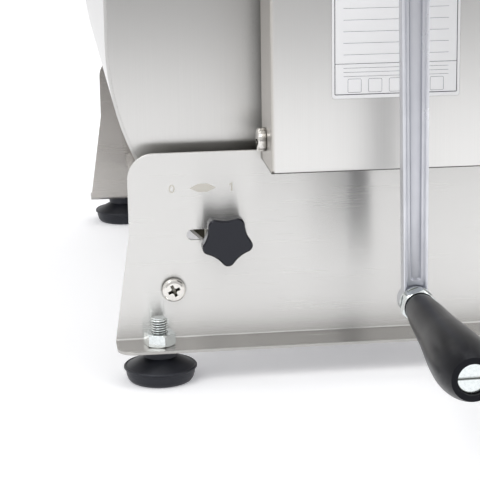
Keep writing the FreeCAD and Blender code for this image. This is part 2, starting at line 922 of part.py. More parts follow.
def cross_hole(radius):
    """The level hole for the drive pin through the stub and the paddle shaft."""
    base = Vector(-2 * shaft_tube_radius, drive_pin_out, axis_height)
    return Part.makeCylinder(radius, 4 * shaft_tube_radius, base, ACROSS)


def drive_pin():
    """The headed pin that locks the paddle shaft on the drive stub."""
    base = Vector(0, drive_pin_out, axis_height)
    top = shaft_tube_radius + drive_pin_head_height
    radius = drive_pin_radius - running_clearance
    outline = [
        (0, -shaft_tube_radius - drive_pin_tip),
        (radius - drive_pin_chamfer, -shaft_tube_radius - drive_pin_tip),
        (radius, -shaft_tube_radius - drive_pin_tip + drive_pin_chamfer),
        (radius, shaft_tube_radius),
        (drive_pin_head_radius, shaft_tube_radius),
        (drive_pin_head_radius, top),
        (0, top),
    ]
    return revolved(outline, base, ACROSS)


def flange_bolt(seat_out, height):
    """A hexagon bolt along Y whose broad flange sits at seat_out."""
    flange_end = seat_out + m8_bolt_flange_height
    head = hexagon(m8_flats, m8_bolt_head_height, 0, Vector(0, -flange_end, height), -ALONG, bolt_turn)
    flange = turned(seat_out, flange_end, m8_bolt_flange_radius, height)
    shank = turned(seat_out - m8_bolt_length, flange_end, m8_radius, height)
    return fused([head, flange, shank])


def paddle_shaft():
    """The removable tube that carries the paddles, bored for the stub, the pin and the far bush."""
    bore = stub_radius + running_clearance
    near_y = crank_plate_y - spigot_end_out + shaft_end_gap
    far_y = far_plate_y + spigot_end_out - shaft_end_gap
    base = Vector(0, near_y, axis_height)
    tube = Part.makeCylinder(shaft_tube_radius, far_y - near_y, base, ALONG)
    tube = tube.cut(Part.makeCylinder(bore, far_y - near_y, base, ALONG))
    return tube.cut(at_crank_end(cross_hole(drive_pin_radius)))


def shaft_far_bush():
    """The plain bush in the far end of the paddle shaft, which turns on the far spindle."""
    start = spigot_end_out - shaft_end_gap - far_bush_length
    end = spigot_end_out - shaft_end_gap
    return ring(start, end, stub_radius + running_clearance, far_spindle_radius + running_clearance)


def paddle(index):
    """One flat arm with a pitched blade whose outer edge follows the tank."""
    side = 1 if index % 2 == 0 else -1
    blade_half = paddle_blade_width / 2 * math.cos(math.radians(paddle_pitch_angle))
    blade_half += paddle_blade_sheet / 2
    first = tank_near_y + tank_sheet + paddle_end_gap + blade_half
    last = tank_far_y - tank_sheet - paddle_end_gap - blade_half
    y = first + (last - first) * index / (paddle_count - 1)
    arm_half = paddle_arm_width / 2
    blade_low = paddle_reach - paddle_blade_height
    arm_top = blade_low + paddle_blade_height / 2
    arm_outline = [
        (-arm_half, 0, 0),
        (arm_half, 0, 0),
        (arm_half, arm_top, paddle_corner_radius),
        (-arm_half, arm_top, paddle_corner_radius),
    ]
    arm = prism(arm_outline, SIDE, -paddle_arm_sheet, 0)
    half = paddle_blade_width / 2
    radius = paddle_corner_radius
    blade_outline = [
        (-half, blade_low, radius),
        (half, blade_low, radius),
        (half, paddle_reach + radius, radius / 2),
        (-half, paddle_reach + radius, radius / 2),
    ]
    blade = prism(blade_outline, SIDE, 0, paddle_blade_sheet)
    body = arm.fuse(blade)
    body.rotate(ORIGIN, UP, paddle_pitch_angle * side)
    start = -ALONG * paddle_blade_width
    sweep = Part.makeCylinder(paddle_reach, 2 * paddle_blade_width, start, ALONG)
    tube = Part.makeCylinder(shaft_tube_radius, 2 * paddle_blade_width, start, ALONG)
    body = body.common(sweep).cut(tube)
    if side < 0:
        body.rotate(ORIGIN, ALONG, 180)
    return body.translated(Vector(0, y, axis_height)).removeSplitter()


# Crank


def leaned(shape):
    """Swings a crank piece to where the arm hangs at rest."""
    return shape.rotated(Vector(0, 0, crank_axis_height), ALONG, -crank_lean)


def crank_shaft():
    """The shaft from behind the neck to the arm, with a collar in front of the pinion."""
    height = crank_axis_height
    front = hub_front_out - face_clearance
    shaft = turned(-sheet - crank_shaft_tail, front, crank_shaft_radius, height)
    collar = turned(pinion_front_out, cover_boss_out - face_clearance, crank_collar_radius, height)
    tap = turned(front - m8_bolt_length, front + past, m8_tap_radius, height)
    return fused([shaft, collar]).cut(tap)


def pinion():
    """The small gear on the crank shaft, in mesh with the large gear."""
    turn = gear_tooth_angle + 180 + 180 / pinion_teeth
    blank = gear_blank(pinion_teeth, turn, pinion_out, pinion_front_out, crank_axis_height)
    bore = turned(pinion_out - past, pinion_front_out + past, crank_shaft_radius, crank_axis_height)
    return blank.cut(bore)


def arm_half_width(height):
    """Half the arm's width at a height, between its eye and its hub."""
    share = (height - eye_height) / crank_reach
    return arm_bottom_half_width + (arm_top_half_width - arm_bottom_half_width) * share


def arm_well(low, high, rim, depth, slope):
    """A sloping sided well in the arm's front, from a height to another, rim in from each side."""
    rounding = arm_recess_rounding * (arm_half_width(low) - rim)
    wires = []
    for level in (depth, -past):
        grown = (depth - level) * slope
        low_half = arm_half_width(low) - rim + grown
        high_half = arm_half_width(high) - rim + grown
        corners = [
            (-low_half, low - grown, rounding),
            (-high_half, high + grown, rounding),
            (high_half, high + grown, rounding),
            (low_half, low - grown, rounding),
        ]
        wires.append(rounded_wire(corners, FRONT, level - arm_front_out))
    return Part.makeLoft(wires, True, True)


def arm_bar():
    """The arm between its hub and its eye, with eased edges and a stepped hollow front and back."""
    outline = [
        (-arm_bottom_half_width, eye_height, 0),
        (-arm_top_half_width, crank_axis_height, 0),
        (arm_top_half_width, crank_axis_height, 0),
        (arm_bottom_half_width, eye_height, 0),
    ]
    bar = prism(outline, FRONT, -arm_front_out, -arm_out)
    long_edges = [edge for edge in bar.Edges if edge.BoundBox.ZLength > crank_reach / 2]
    bar = bar.makeFillet(arm_edge_radius, long_edges)
    wells = [
        arm_well(eye_height, crank_axis_height, arm_step_rim, arm_step_depth, arm_step_slope),
        arm_well(
            eye_height + arm_eye_radius + arm_recess_gap,
            crank_axis_height - arm_hub_radius - arm_recess_gap,
            arm_recess_rim,
            arm_recess_depth,
            arm_recess_slope,
        ),
    ]
    middle = Vector(0, -(arm_out + arm_front_out) / 2, 0)
    wells += [well.mirror(middle, ALONG) for well in wells]
    return bar.fuse([hub_web(side) for side in (-1, 1)]).removeSplitter().cut(wells)


def crank_arm():
    """The cast arm: a long hub, a hollowed bar, and an eye for the grip."""
    height = crank_axis_height
    hub = turned(arm_out, hub_front_out, arm_hub_radius, height)
    cone_length = arm_out - hub_rear_out
    hub_rear = Part.makeCone(
        arm_hub_rear_radius, arm_hub_radius, cone_length, Vector(0, -hub_rear_out, height), -ALONG
    )
    eye = turned(arm_out, eye_front_out, arm_eye_radius, eye_height)
    body = fused([arm_bar(), hub, hub_rear, eye])
    cuts = [
        turned(hub_rear_out - past, hub_front_out + past, crank_shaft_radius, height),
        turned(arm_out - past, eye_front_out + past, spindle_radius, eye_height),
    ]
    return leaned(body.cut(cuts))


def hub_web(side):
    """The rounded fillet of metal where the arm's side runs into its hub."""
    reach = arm_hub_radius + arm_blend_radius
    across = arm_top_half_width + arm_blend_radius
    drop = math.sqrt(reach ** 2 - across ** 2)
    centre = Vector(side * across, 0, crank_axis_height - drop)
    toward_hub = Vector(-side * across, 0, drop).normalize()
    hub_point = centre + toward_hub * arm_blend_radius
    arm_point = centre + Vector(-side * arm_blend_radius, 0, 0)
    middle_way = (toward_hub + Vector(-side, 0, 0)).normalize()
    middle = centre + middle_way * arm_blend_radius
    inside = Vector(0, 0, crank_axis_height)
    low_inside = Vector(0, 0, arm_point.z)
    face = Part.Face(Part.Wire([
        Part.Arc(arm_point, middle, hub_point).toShape(),
        Part.LineSegment(hub_point, inside).toShape(),
        Part.LineSegment(inside, low_inside).toShape(),
        Part.LineSegment(low_inside, arm_point).toShape(),
    ]))
    face.translate(Vector(0, -arm_front_out, 0))
    return face.extrude(ALONG * arm_thickness)


def grip_spindle():
    """The long bolt on which the grip turns, through the arm's eye and its nut."""
    rod = turned(arm_out, spindle_end_out, spindle_radius, eye_height)
    head_end = spindle_end_out + spindle_head_height
    head = turned(spindle_end_out, head_end, spindle_head_radius, eye_height)
    slot_length = 2 * spindle_head_radius + 2 * past
    slot = Part.makeBox(slot_length, spindle_slot_depth + past, spindle_slot_width)
    slot.translate(Vector(-slot_length / 2, -head_end - past, eye_height - spindle_slot_width / 2))
    return leaned(fused([rod, head]).cut(slot))


def spindle_nut():
    """The flanged nut that locks the spindle against the arm's eye."""
    flange_end = eye_front_out + spindle_nut_flange_height
    flange = ring(eye_front_out, flange_end, spindle_nut_flange_radius, spindle_radius, eye_height)
    base = Vector(0, -flange_end, eye_height)
    body = hexagon(spindle_nut_flats, spindle_nut_height, spindle_radius, base, -ALONG, spindle_nut_turn)
    return leaned(fused([flange, body]))


def grip():
    """The turned grip: narrow at the arm, full in the palm, rounded at its end."""
    axis = Vector(0, 0, eye_height)
    end = grip_out + grip_length

    def at(radius, out):
        return axis + UP * radius - ALONG * out

    bore = spindle_radius + running_clearance
    pocket = spindle_head_radius + face_clearance
    pocket_floor = spindle_end_out - face_clearance
    swell = Part.BSplineCurve()
    swell.interpolate([at(radius, grip_out + share * grip_length) for share, radius in grip_profile])
    first = at(grip_profile[0][1], grip_out)
    near_end = Part.makePolygon([at(bore, grip_out), first])
    far_end = Part.makePolygon([
        at(grip_profile[-1][1], end),
        at(pocket, end),
        at(pocket, pocket_floor),
        at(bore, pocket_floor),
        at(bore, grip_out),
    ])
    wire = Part.Wire(near_end.Edges + [swell.toShape()] + far_end.Edges)
    return leaned(Part.Face(wire).revolve(axis, ALONG, 360))


# Tilt lock


def wedge_prism(x_from, x_to, half_height, face_out, back_out):
    """A block behind the stand whose front slopes as the lock's wedge does."""
    slope = math.tan(math.radians(lock_wedge_angle))

    def front(x):
        return face_out + (x + lock_tight_offset) * slope

    outline = [
        (x_from, front(x_from), 0),
        (x_to, front(x_to), 0),
        (x_to, back_out, 0),
        (x_from, back_out, 0),
    ]
    return prism(outline, PLAN, lock_height - half_height, lock_height + half_height)


def lock_guide():
    """The sloping plate welded behind the stand that the wedge slides on."""
    right = -lock_tight_offset + lock_wedge_length / 2 + lock_guide_overrun
    left = right - lock_guide_length
    plate = wedge_prism(left, right, lock_guide_height / 2, sheet + lock_guide_thickness, sheet)
    opening_length = lock_guide_length - 2 * lock_guide_margin
    opening = Part.makeBox(opening_length, 3 * lock_guide_thickness, lock_guide_opening)
    opening.translate(Vector(left + lock_guide_margin, sheet - past, lock_height - lock_guide_opening / 2))
    return plate.cut(opening)


def lock_wedge():
    """The sliding block that jams between the guide and the tank's end."""
    half = lock_wedge_length / 2
    left = -lock_tight_offset - half
    right = -lock_tight_offset + half
    front = sheet + lock_guide_thickness + face_clearance
    back = -tank_end_out - face_clearance
    block = wedge_prism(left, right, lock_wedge_height / 2, front, back)
    stud_hole = turned(-back - past, 0, lock_stud_radius, lock_height, -lock_tight_offset)
    pocket_end = -back + face_clearance + lock_head_height
    head_pocket = turned(-back - past, pocket_end, lock_head_radius, lock_height, -lock_tight_offset)
    return block.cut([stud_hole, head_pocket])


def lock_stud():
    """The stud through the wedge, the slot and the knob, its head sunk in the wedge."""
    back = tank_end_out + face_clearance
    head_from = back + face_clearance
    head = turned(head_from, head_from + lock_head_height, lock_head_radius, lock_height, -lock_tight_offset)
    end = lock_washer_height + knob_hub_length + knob_thickness / 2
    rod = turned(head_from, end, lock_stud_radius, lock_height, -lock_tight_offset)
    return fused([head, rod])


def lock_washer():
    """The washer between the knob and the stand."""
    bore = lock_stud_radius + thread_clearance
    return ring(0, lock_washer_height, lock_washer_radius, bore, lock_height, -lock_tight_offset)


def knob_star():
    """The knob's outline about the origin: round lobes joined by tangent hollows."""
    step = 2 * math.pi / knob_lobes
    lobe_reach = knob_tip_radius - knob_lobe_radius
    depth = knob_lobe_radius - knob_valley_radius
    hollow_reach = (lobe_reach ** 2 - depth ** 2) / (2 * (depth + lobe_reach * math.cos(step / 2)))
    hollow_radius = hollow_reach - knob_valley_radius

    def point(radius, angle):
        return Vector(radius * math.cos(angle), 0, radius * math.sin(angle))

    edges = []
    for lobe in range(knob_lobes):
        middle = math.radians(knob_turn) + lobe * step
        lobe_centre = point(lobe_reach, middle)
        before_centre = point(hollow_reach, middle - step / 2)
        after_centre = point(hollow_reach, middle + step / 2)
        next_lobe = point(lobe_reach, middle + step)
        share = knob_lobe_radius / (knob_lobe_radius + hollow_radius)
        start = lobe_centre + (before_centre - lobe_centre) * share
        end = lobe_centre + (after_centre - lobe_centre) * share
        next_start = next_lobe + (after_centre - next_lobe) * share
        edges.append(Part.Arc(start, point(knob_tip_radius, middle), end).toShape())
        edges.append(Part.Arc(end, point(knob_valley_radius, middle + step / 2), next_start).toShape())
    return Part.Wire(edges)


def lock_knob():
    """The five lobed knob that tightens the lock, with a round hub and eased edges."""
    back = lock_washer_height + knob_hub_length
    front = back + knob_thickness
    head = Part.Face(knob_star()).extrude(ALONG * knob_thickness)
    head = head.makeChamfer(knob_edge_width, front_edges(head, 0) + front_edges(head, knob_thickness))
    head.translate(Vector(-lock_tight_offset, -front, lock_height))
    hub_end = back + knob_edge_width
    hub = turned(lock_washer_height, hub_end, knob_hub_radius, lock_height, -lock_tight_offset)
    bore_end = back + knob_thickness / 2 + face_clearance
    bore = turned(0, bore_end, lock_stud_radius + running_clearance, lock_height, -lock_tight_offset)
    return fused([head, hub]).cut(bore)


# Lid


def lid_outline(inset, top, radius):
    """The lid's plan at a distance in from its edge."""
    half = tank_radius + rim_width + lid_overlap + lid_sheet - inset
    near = tank_near_y - rim_width - lid_overlap - lid_sheet + inset
    far = tank_far_y + rim_width + lid_overlap + lid_sheet - inset
    corners = [(-half, near, radius), (half, near, radius), (half, far, radius), (-half, far, radius)]
    return rounded_wire(corners, PLAN, top)


def lid_body(inset, drop):
    """The lid's outer form: a turned down edge and a raised middle panel."""
    corner = lid_corner_radius
    seat = tank_top + face_clearance + lid_sheet
    edge = Part.Face(lid_outline(inset, tank_top - drop, corner - inset))
    skirt = edge.extrude(UP * (seat + drop - tank_top - inset))
    panel = Part.makeLoft(
        [
            lid_outline(lid_panel_inset, seat - inset - lid_panel_sink, corner),
            lid_outline(lid_panel_inset + lid_panel_slope, seat + lid_panel_rise - inset, corner),
        ],
        True,
        True,
    )
    return skirt.fuse(panel)


def lid():
    """The loose sheet lid."""
    outer = lid_body(0, lid_drop)
    inner = lid_body(lid_sheet, lid_drop + past)
    holes = []
    for side in (-1, 1):
        holes.append(Part.makeCylinder(m6_hole_radius, 3 * lid_panel_rise, lid_screw_place(side), UP))
    return outer.removeSplitter().cut(inner.removeSplitter()).cut(holes)


def lid_panel_top():
    """The height of the lid's raised panel."""
    return tank_top + face_clearance + lid_sheet + lid_panel_rise


def lid_screw_place(side):
    """A point below the lid on the axis of one of its handle screws."""
    middle = (tank_near_y + tank_far_y) / 2
    reach = lid_handle_length / 2 - lid_handle_radius
    return Vector(0, middle + side * reach, lid_panel_top() - 2 * lid_panel_rise)


def lid_handle():
    """The bow handle bent from round bar, with a round foot and a tapped hole at each end."""
    middle = (tank_near_y + tank_far_y) / 2
    half = lid_handle_length / 2 - lid_handle_radius
    low = lid_panel_top()
    high = low + lid_handle_height - lid_handle_radius
    radius = lid_handle_radius
    straight = 2 * (half - lid_handle_bend)
    bar_start = Vector(0, middle - straight / 2, high)
    pieces = [Part.makeCylinder(radius, straight, bar_start, ALONG)]
    taps = []
    for side in (-1, 1):
        foot_base = Vector(0, middle + side * half, low)
        leg_height = high - lid_handle_bend - low
        pieces.append(Part.makeCylinder(radius, leg_height, foot_base, UP))
        leg_top = foot_base + UP * leg_height
        section = Part.Face(Part.Wire(Part.makeCircle(radius, leg_top, UP)))
        pieces.append(section.revolve(leg_top - ALONG * side * lid_handle_bend, ACROSS * side, 90))
        pieces.append(Part.makeCylinder(lid_handle_foot_radius, lid_handle_foot_height, foot_base, UP))
        taps.append(Part.makeCylinder(m6_hole_radius, lid_screw_depth, foot_base, UP))
    return fused(pieces).cut(taps)


def lid_screws():
    """The screws from below that hold the lid's handle."""
    screws = []
    for side in (-1, 1):
        base = lid_screw_place(side)
        base.z = lid_panel_top() - lid_sheet
        length = lid_sheet + lid_screw_depth - face_clearance
        screws.append(pan_head_screw(base, -UP, length, m6_recess_turn))
    return group(screws)


def all_parts():
    """Every node and its shape, in the machine's own frame."""
    parts = {
        "crank_stand": at_crank_end(crank_stand()),
        "far_stand": at_far_end(far_stand()),
        "tie_rods": tie_rods(),
        "tie_rod_screws": tie_rod_screws(),
        "foot_locknuts": foot_locknuts(),
        "crank_pivot_housing": at_crank_end(pivot_housing()),
        "far_pivot_housing": at_far_end(pivot_housing()),
        "crank_pivot_bush": at_crank_end(pivot_bush()),
        "far_pivot_bush": at_far_end(pivot_bush()),
        "crank_rear_housing": at_crank_end(crank_rear_housing()),
        "crank_rear_bush": at_crank_end(crank_rear_bush()),
        "gear_cover": at_crank_end(gear_cover()),
        "cover_boss": at_crank_end(cover_boss()),
        "cover_bush": at_crank_end(cover_bush()),
        "cover_screws": at_crank_end(cover_screws()),
        "tank_shell": tank_shell(),
        "crank_end_plate": at_crank_end(tank_end_plate()),
        "far_end_plate": at_far_end(tank_end_plate()),
        "tank_rim": tank_rim(),
        "crank_trunnion": at_crank_end(trunnion(sleeve_radius, True)),
        "far_trunnion": at_far_end(trunnion(far_spindle_radius, False)),
        "drive_sleeve": at_crank_end(drive_sleeve()),
        "shaft_seal": at_crank_end(shaft_seal()),
        "far_spindle": at_far_end(far_spindle()),
        "drive_stub": at_crank_end(drive_stub()),
        "paddle_gear": at_crank_end(paddle_gear()),
        "gear_key": at_crank_end(key_block(gear_out, gear_front_out)),
        "gear_bolt": at_crank_end(flange_bolt(gear_front_out, axis_height)),
        "paddle_shaft": paddle_shaft(),
        "shaft_far_bush": at_far_end(shaft_far_bush()),
        "drive_pin": at_crank_end(drive_pin()),
        "crank_shaft": at_crank_end(crank_shaft()),
        "pinion": at_crank_end(pinion()),
        "crank_arm": at_crank_end(crank_arm()),
        "arm_bolt": at_crank_end(leaned(flange_bolt(hub_front_out, crank_axis_height))),
        "grip_spindle": at_crank_end(grip_spindle()),
        "spindle_nut": at_crank_end(spindle_nut()),
        "crank_grip": at_crank_end(grip()),
        "lock_guide": at_crank_end(lock_guide()),
        "lock_wedge": at_crank_end(lock_wedge()),
        "lock_stud": at_crank_end(lock_stud()),
        "lock_washer": at_crank_end(lock_washer()),
        "lock_knob": at_crank_end(lock_knob()),
        "lid": lid(),
        "lid_handle": lid_handle(),
        "lid_screws": lid_screws(),
    }
    for index in range(paddle_count):
        parts["paddle_%d" % (index + 1)] = paddle(index)
    for index, place in enumerate(foot_places()):
        parts["foot_pad_%d" % (index + 1)] = foot_pad(place)
        parts["foot_stud_%d" % (index + 1)] = foot_stud(place)
    return parts


os.makedirs("parts", exist_ok=True)
for name, shape in all_parts().items():
    shape.exportStep("parts/%s.step" % name)
    print(name, len(shape.Solids), "solid(s)", round(shape.Volume), "mm3")
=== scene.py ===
# %% [markdown]
# # A hand cranked meat mixer in bent stainless sheet
# The machine is a stainless tank that tips between two bent stands. A crank drives the
# paddles in the tank through a pinion and a large gear under a folded cover.
# The solids come ready made. This lesson gives each piece the surface its real
# counterpart has, adds the details that are too fine for the solids, and lights it all.

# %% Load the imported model
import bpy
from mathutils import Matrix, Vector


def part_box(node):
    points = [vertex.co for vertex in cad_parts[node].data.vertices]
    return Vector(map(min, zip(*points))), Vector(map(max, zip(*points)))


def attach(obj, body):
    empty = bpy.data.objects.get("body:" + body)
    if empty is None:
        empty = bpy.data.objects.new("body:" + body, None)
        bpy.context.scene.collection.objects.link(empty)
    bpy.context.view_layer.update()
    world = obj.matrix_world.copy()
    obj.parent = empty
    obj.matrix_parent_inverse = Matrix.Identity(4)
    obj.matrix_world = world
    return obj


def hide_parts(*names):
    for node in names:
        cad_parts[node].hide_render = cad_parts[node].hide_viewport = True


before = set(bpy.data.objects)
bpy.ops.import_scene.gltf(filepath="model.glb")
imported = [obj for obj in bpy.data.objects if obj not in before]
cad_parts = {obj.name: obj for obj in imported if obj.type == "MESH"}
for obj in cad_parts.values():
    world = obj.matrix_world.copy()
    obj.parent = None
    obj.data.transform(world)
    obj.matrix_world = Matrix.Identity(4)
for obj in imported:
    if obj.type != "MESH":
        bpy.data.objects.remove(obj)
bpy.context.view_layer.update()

# %% [markdown]
# ## Tools for the lesson
# Blender measures in metres, and a machine drawing in millimetres, so one value turns
# the one into the other. A colour on a screen is not in step with the light it stands
# for, so one function turns the hex value a designer picks into Blender's linear light.
# The numbers in it are those of the sRGB standard.

# %% Units and colour
import math
import bpy
from mathutils import Matrix, Vector

MM = 0.001


def linear(code):
    """Turns a hex colour, as a screen shows it, into linear red, green, blue and alpha."""
    shown = [int(code[place:place + 2], 16) / 255 for place in (1, 3, 5)]
    light = [c / 12.92 if c <= 0.04045 else ((c + 0.055) / 1.055) ** 2.4 for c in shown]
    return (*light, 1.0)


print("mid grey is", round(linear("#808080")[0], 3), "in linear light")

# %% [markdown]
# A material is a small graph of nodes. Adding a node takes the same steps each time:
# make it, set its choices, fill its sockets and join it to the nodes before it. One
# function does all of that, so that each finish below reads as a list of what it needs.

# %% A node, its settings and its links


def add_node(tree, kind, values=None, links=None, **choices):
    """Adds one node: choices are its options, values fill sockets, links join them."""
    node = tree.nodes.new(kind)
    for name, choice in choices.items():
        setattr(node, name, choice)
    for socket, value in (values or {}).items():
        node.inputs[socket].default_value = value
    for socket, source in (links or {}).items():
        tree.links.new(source, node.inputs[socket])
    return node


def new_finish(name, colour, metallic, roughness):
    """A material with its shader's plain values, and the tree and shader to build on."""
    material = bpy.data.materials.new(name)
    material.use_nodes = True
    tree = material.node_tree
    shader = tree.nodes["Principled BSDF"]
    shader.inputs["Base Color"].default_value = linear(colour)
    shader.inputs["Metallic"].default_value = metallic
    shader.inputs["Roughness"].default_value = roughness
    return material, tree, shader


print("helpers ready")

# %% [markdown]
# Grain, grit and streaks all start as noise whose size is a real size. Stretching the
# noise along one axis turns grain into brushing lines. The noise is read in object
# coordinates, which are the machine's own metres, so it never slides over a piece.
# Most of a noise lies between 0.3 and 0.7, so that part is stretched over what it drives.
# A Mix node holds sockets for numbers, vectors and colours side by side, all with the
# same two names. Their numbers in the row tell them apart: two colours go in at 6 and 7,
# and their mix comes out at 2.

# %% Noise with a real size
NOISE_ROUGHNESS = 0.55
NOISE_RANGE = {"From Min": 0.3, "From Max": 0.7}
EDGE_SAMPLES = 4
MIX_SHARE = 0
FIRST_COLOUR = 6
SECOND_COLOUR = 7
MIXED_COLOUR = 2


def noise_of(tree, size_mm, stretch=(1.0, 1.0, 1.0), detail=2.0):
    """Noise whose grains measure size_mm, longer along an axis by its stretch."""
    rates = [1.0 / (size_mm * MM * longer) for longer in stretch]
    place = add_node(tree, "ShaderNodeTexCoord")
    scaled = add_node(
        tree, "ShaderNodeVectorMath", {1: rates}, {0: place.outputs["Object"]},
        operation="MULTIPLY",
    )
    noise = add_node(
        tree, "ShaderNodeTexNoise",
        {"Scale": 1.0, "Detail": detail, "Roughness": NOISE_ROUGHNESS},
        {"Vector": scaled.outputs[0]},
    )
    return noise.outputs["Fac"]


def two_tones(tree, noise, dark, light):
    """A colour that runs from dark to light with a noise."""
    share = add_node(tree, "ShaderNodeMapRange", NOISE_RANGE, {"Value": noise})
    mix = add_node(
        tree, "ShaderNodeMix", {FIRST_COLOUR: linear(dark), SECOND_COLOUR: linear(light)},
        {MIX_SHARE: share.outputs["Result"]}, data_type="RGBA",
    )
    return mix.outputs[MIXED_COLOUR]


def uneven_shine(tree, shader, noise, low, high):
    """Roughness that runs from low to high with a noise."""
    worn = add_node(
        tree, "ShaderNodeMapRange", {**NOISE_RANGE, "To Min": low, "To Max": high},
        {"Value": noise},
    )
    tree.links.new(worn.outputs["Result"], shader.inputs["Roughness"])


def relief(tree, shader, source, height_mm, edge_mm):
    """Bumps of a real height over edges that are broken to a small radius."""
    edge = add_node(tree, "ShaderNodeBevel", {"Radius": edge_mm * MM}, samples=EDGE_SAMPLES)
    bump = add_node(
        tree, "ShaderNodeBump", {"Strength": 1.0, "Distance": height_mm * MM},
        {"Height": source, "Normal": edge.outputs[0]},
    )
    tree.links.new(bump.outputs[0], shader.inputs["Normal"])


print("noise is scaled in millimetres")

# %% [markdown]
# ## Brushed stainless sheet
# The stands, the tank and the cover are chromium nickel steel sheet with a ground
# finish: an abrasive belt leaves long fine lines that all run one way. The lines
# mirror what stands before the sheet, but smear it across the grain, so a knob's
# reflection is sharp at its sides and fades above it. Anisotropy does this. It needs the
# direction of the grain, turned from the piece's own axes into the world's, and a
# quarter turn, because the shader smears along the direction that it is given.
# Real lines are about 0.1 mm wide. At this distance they would vanish, so they are
# drawn 0.3 mm wide. Each pass of the belt also leaves a broad faint band.
# Ambient occlusion tells how much of the sky above a point is walled off within a short
# reach. Where it is walled off, in narrow gaps and the roots of seams, the sheet is painted
# darker:
# painted shade, and partly a film of old grease that no cloth reaches. The scratches
# also veil the mirror a little, so the sheet is not quite fully metallic. The lid lies
# flat under the lamps, and a bright sheet would burn out to plain white there, so its
# ground finish is duller and its grey is painted darker: painted shade.

# %% Brushed stainless
LINE_WIDTH = 0.3
LINE_STRETCH = 300.0
LINE_HEIGHT = 0.0001
LINE_WEAR = 0.003
BAND_WIDTH = 5.0
BAND_STRETCH = 12.0
BAND_WEAR = 0.003
QUARTER_TURN = 0.25
SHEET_EDGE = 0.35
SCRATCH_VEIL = 0.12
# The AO darkening below is painted shade; in seams it is partly old grease too.
GREASE_AND_SHADE = "#56534b"
SEAM_SHADE_AND_GREASE = (2.0, 0.35, 0.85)
GAP_SHADE = (22.0, 0.45, 0.8)
CORNER_SHADE = (30.0, 0.45, 1.0)
UNDER_TANK_SHADE = (120.0, 0.05, 0.65)
SKY_SAMPLES = 16


def along_axis(axis, longer):
    """How far a pattern is drawn out along each axis: only along the one numbered axis."""
    stretch = [1.0, 1.0, 1.0]
    stretch[axis] = longer
    return stretch


def shaded_and_soiled(tree, own_colour, shade_and_dirt, places):
    """A colour that darkens where walls stand close, as painted shade and dirt: the reach
    in mm, then how much open sky still counts as fully dark, and how much as unshaded."""
    reach_mm, walled, open_wide = places
    sky = add_node(
        tree, "ShaderNodeAmbientOcclusion", {"Distance": reach_mm * MM}, samples=SKY_SAMPLES
    )
    unshaded = add_node(
        tree, "ShaderNodeMapRange", {"From Min": walled, "From Max": open_wide},
        {"Value": sky.outputs["AO"]},
    )
    mix = add_node(
        tree, "ShaderNodeMix", {FIRST_COLOUR: linear(shade_and_dirt)},
        {MIX_SHARE: unshaded.outputs["Result"], SECOND_COLOUR: own_colour}, data_type="RGBA",
    )
    return mix.outputs[MIXED_COLOUR]


def brushed_stainless(name, grain, light, dark, roughness, smear, shade_places=SEAM_SHADE_AND_GREASE):
    """Ground stainless sheet: lines along the axis numbered grain, painted shade and grease in
    its seams.
    """
    material, tree, shader = new_finish(name, light, 1.0 - SCRATCH_VEIL, roughness)
    lines = noise_of(tree, LINE_WIDTH, along_axis(grain, LINE_STRETCH))
    bands = noise_of(tree, BAND_WIDTH, along_axis(grain, BAND_STRETCH))
    colour = two_tones(tree, lines, dark, light)
    colour = shaded_and_soiled(tree, colour, GREASE_AND_SHADE, shade_places)
    tree.links.new(colour, shader.inputs["Base Color"])
    line_wear = add_node(
        tree, "ShaderNodeMapRange",
        {**NOISE_RANGE, "To Min": roughness - LINE_WEAR, "To Max": roughness + LINE_WEAR},
        {"Value": lines},
    )
    band_wear = add_node(
        tree, "ShaderNodeMapRange", {**NOISE_RANGE, "To Min": -BAND_WEAR, "To Max": BAND_WEAR},
        {"Value": bands},
    )
    worn = add_node(
        tree, "ShaderNodeMath", {},
        {0: line_wear.outputs["Result"], 1: band_wear.outputs["Result"]}, operation="ADD",
    )
    tree.links.new(worn.outputs[0], shader.inputs["Roughness"])
    tangent = add_node(
        tree, "ShaderNodeVectorTransform", {0: [float(axis == grain) for axis in range(3)]},
        vector_type="VECTOR", convert_from="OBJECT", convert_to="WORLD",
    )
    tree.links.new(tangent.outputs[0], shader.inputs["Tangent"])
    shader.inputs["Anisotropic"].default_value = smear
    shader.inputs["Anisotropic Rotation"].default_value = QUARTER_TURN
    relief(tree, shader, lines, LINE_HEIGHT, SHEET_EDGE)
    return material


print("lines of", LINE_WIDTH, "mm in bands of", BAND_WIDTH, "mm")

# %% [markdown]
# Each part was ground before it was bent and welded, so each has its own grain: across
# the stands, up the cover and the tank's ends, and along the tank and the lid. A numbered
# axis says which. Two close greys make the lines, and the two numbers after them are the
# roughness and how far the mirror smears. Seams are darkened by painted shade and old
# grease. Where a last value says so, painted shade darkens the gaps beside the tank's
# ends, the corners round the cover or the far stand under the tank.

# %% Seven ground sheets
ACROSS = 0
ALONG = 1
UPRIGHT = 2
stand_sheet = brushed_stainless(
    "ground_stainless_stand", ACROSS, "#ebeae8", "#e8e7e5", roughness=0.27, smear=1.0
)
far_sheet = brushed_stainless(
    "ground_stainless_far_stand", ACROSS, "#f2eeea", "#efebe7", 0.27, 1.0, shade_places=UNDER_TANK_SHADE
)
cover_sheet = brushed_stainless(
    "ground_stainless_cover", UPRIGHT, "#e6e5e3", "#e3e2e0", 0.3, 0.75, shade_places=CORNER_SHADE
)
tank_sheet = brushed_stainless(
    "ground_stainless_tank", ALONG, "#dedddb", "#dad9d7", roughness=0.28, smear=0.72
)
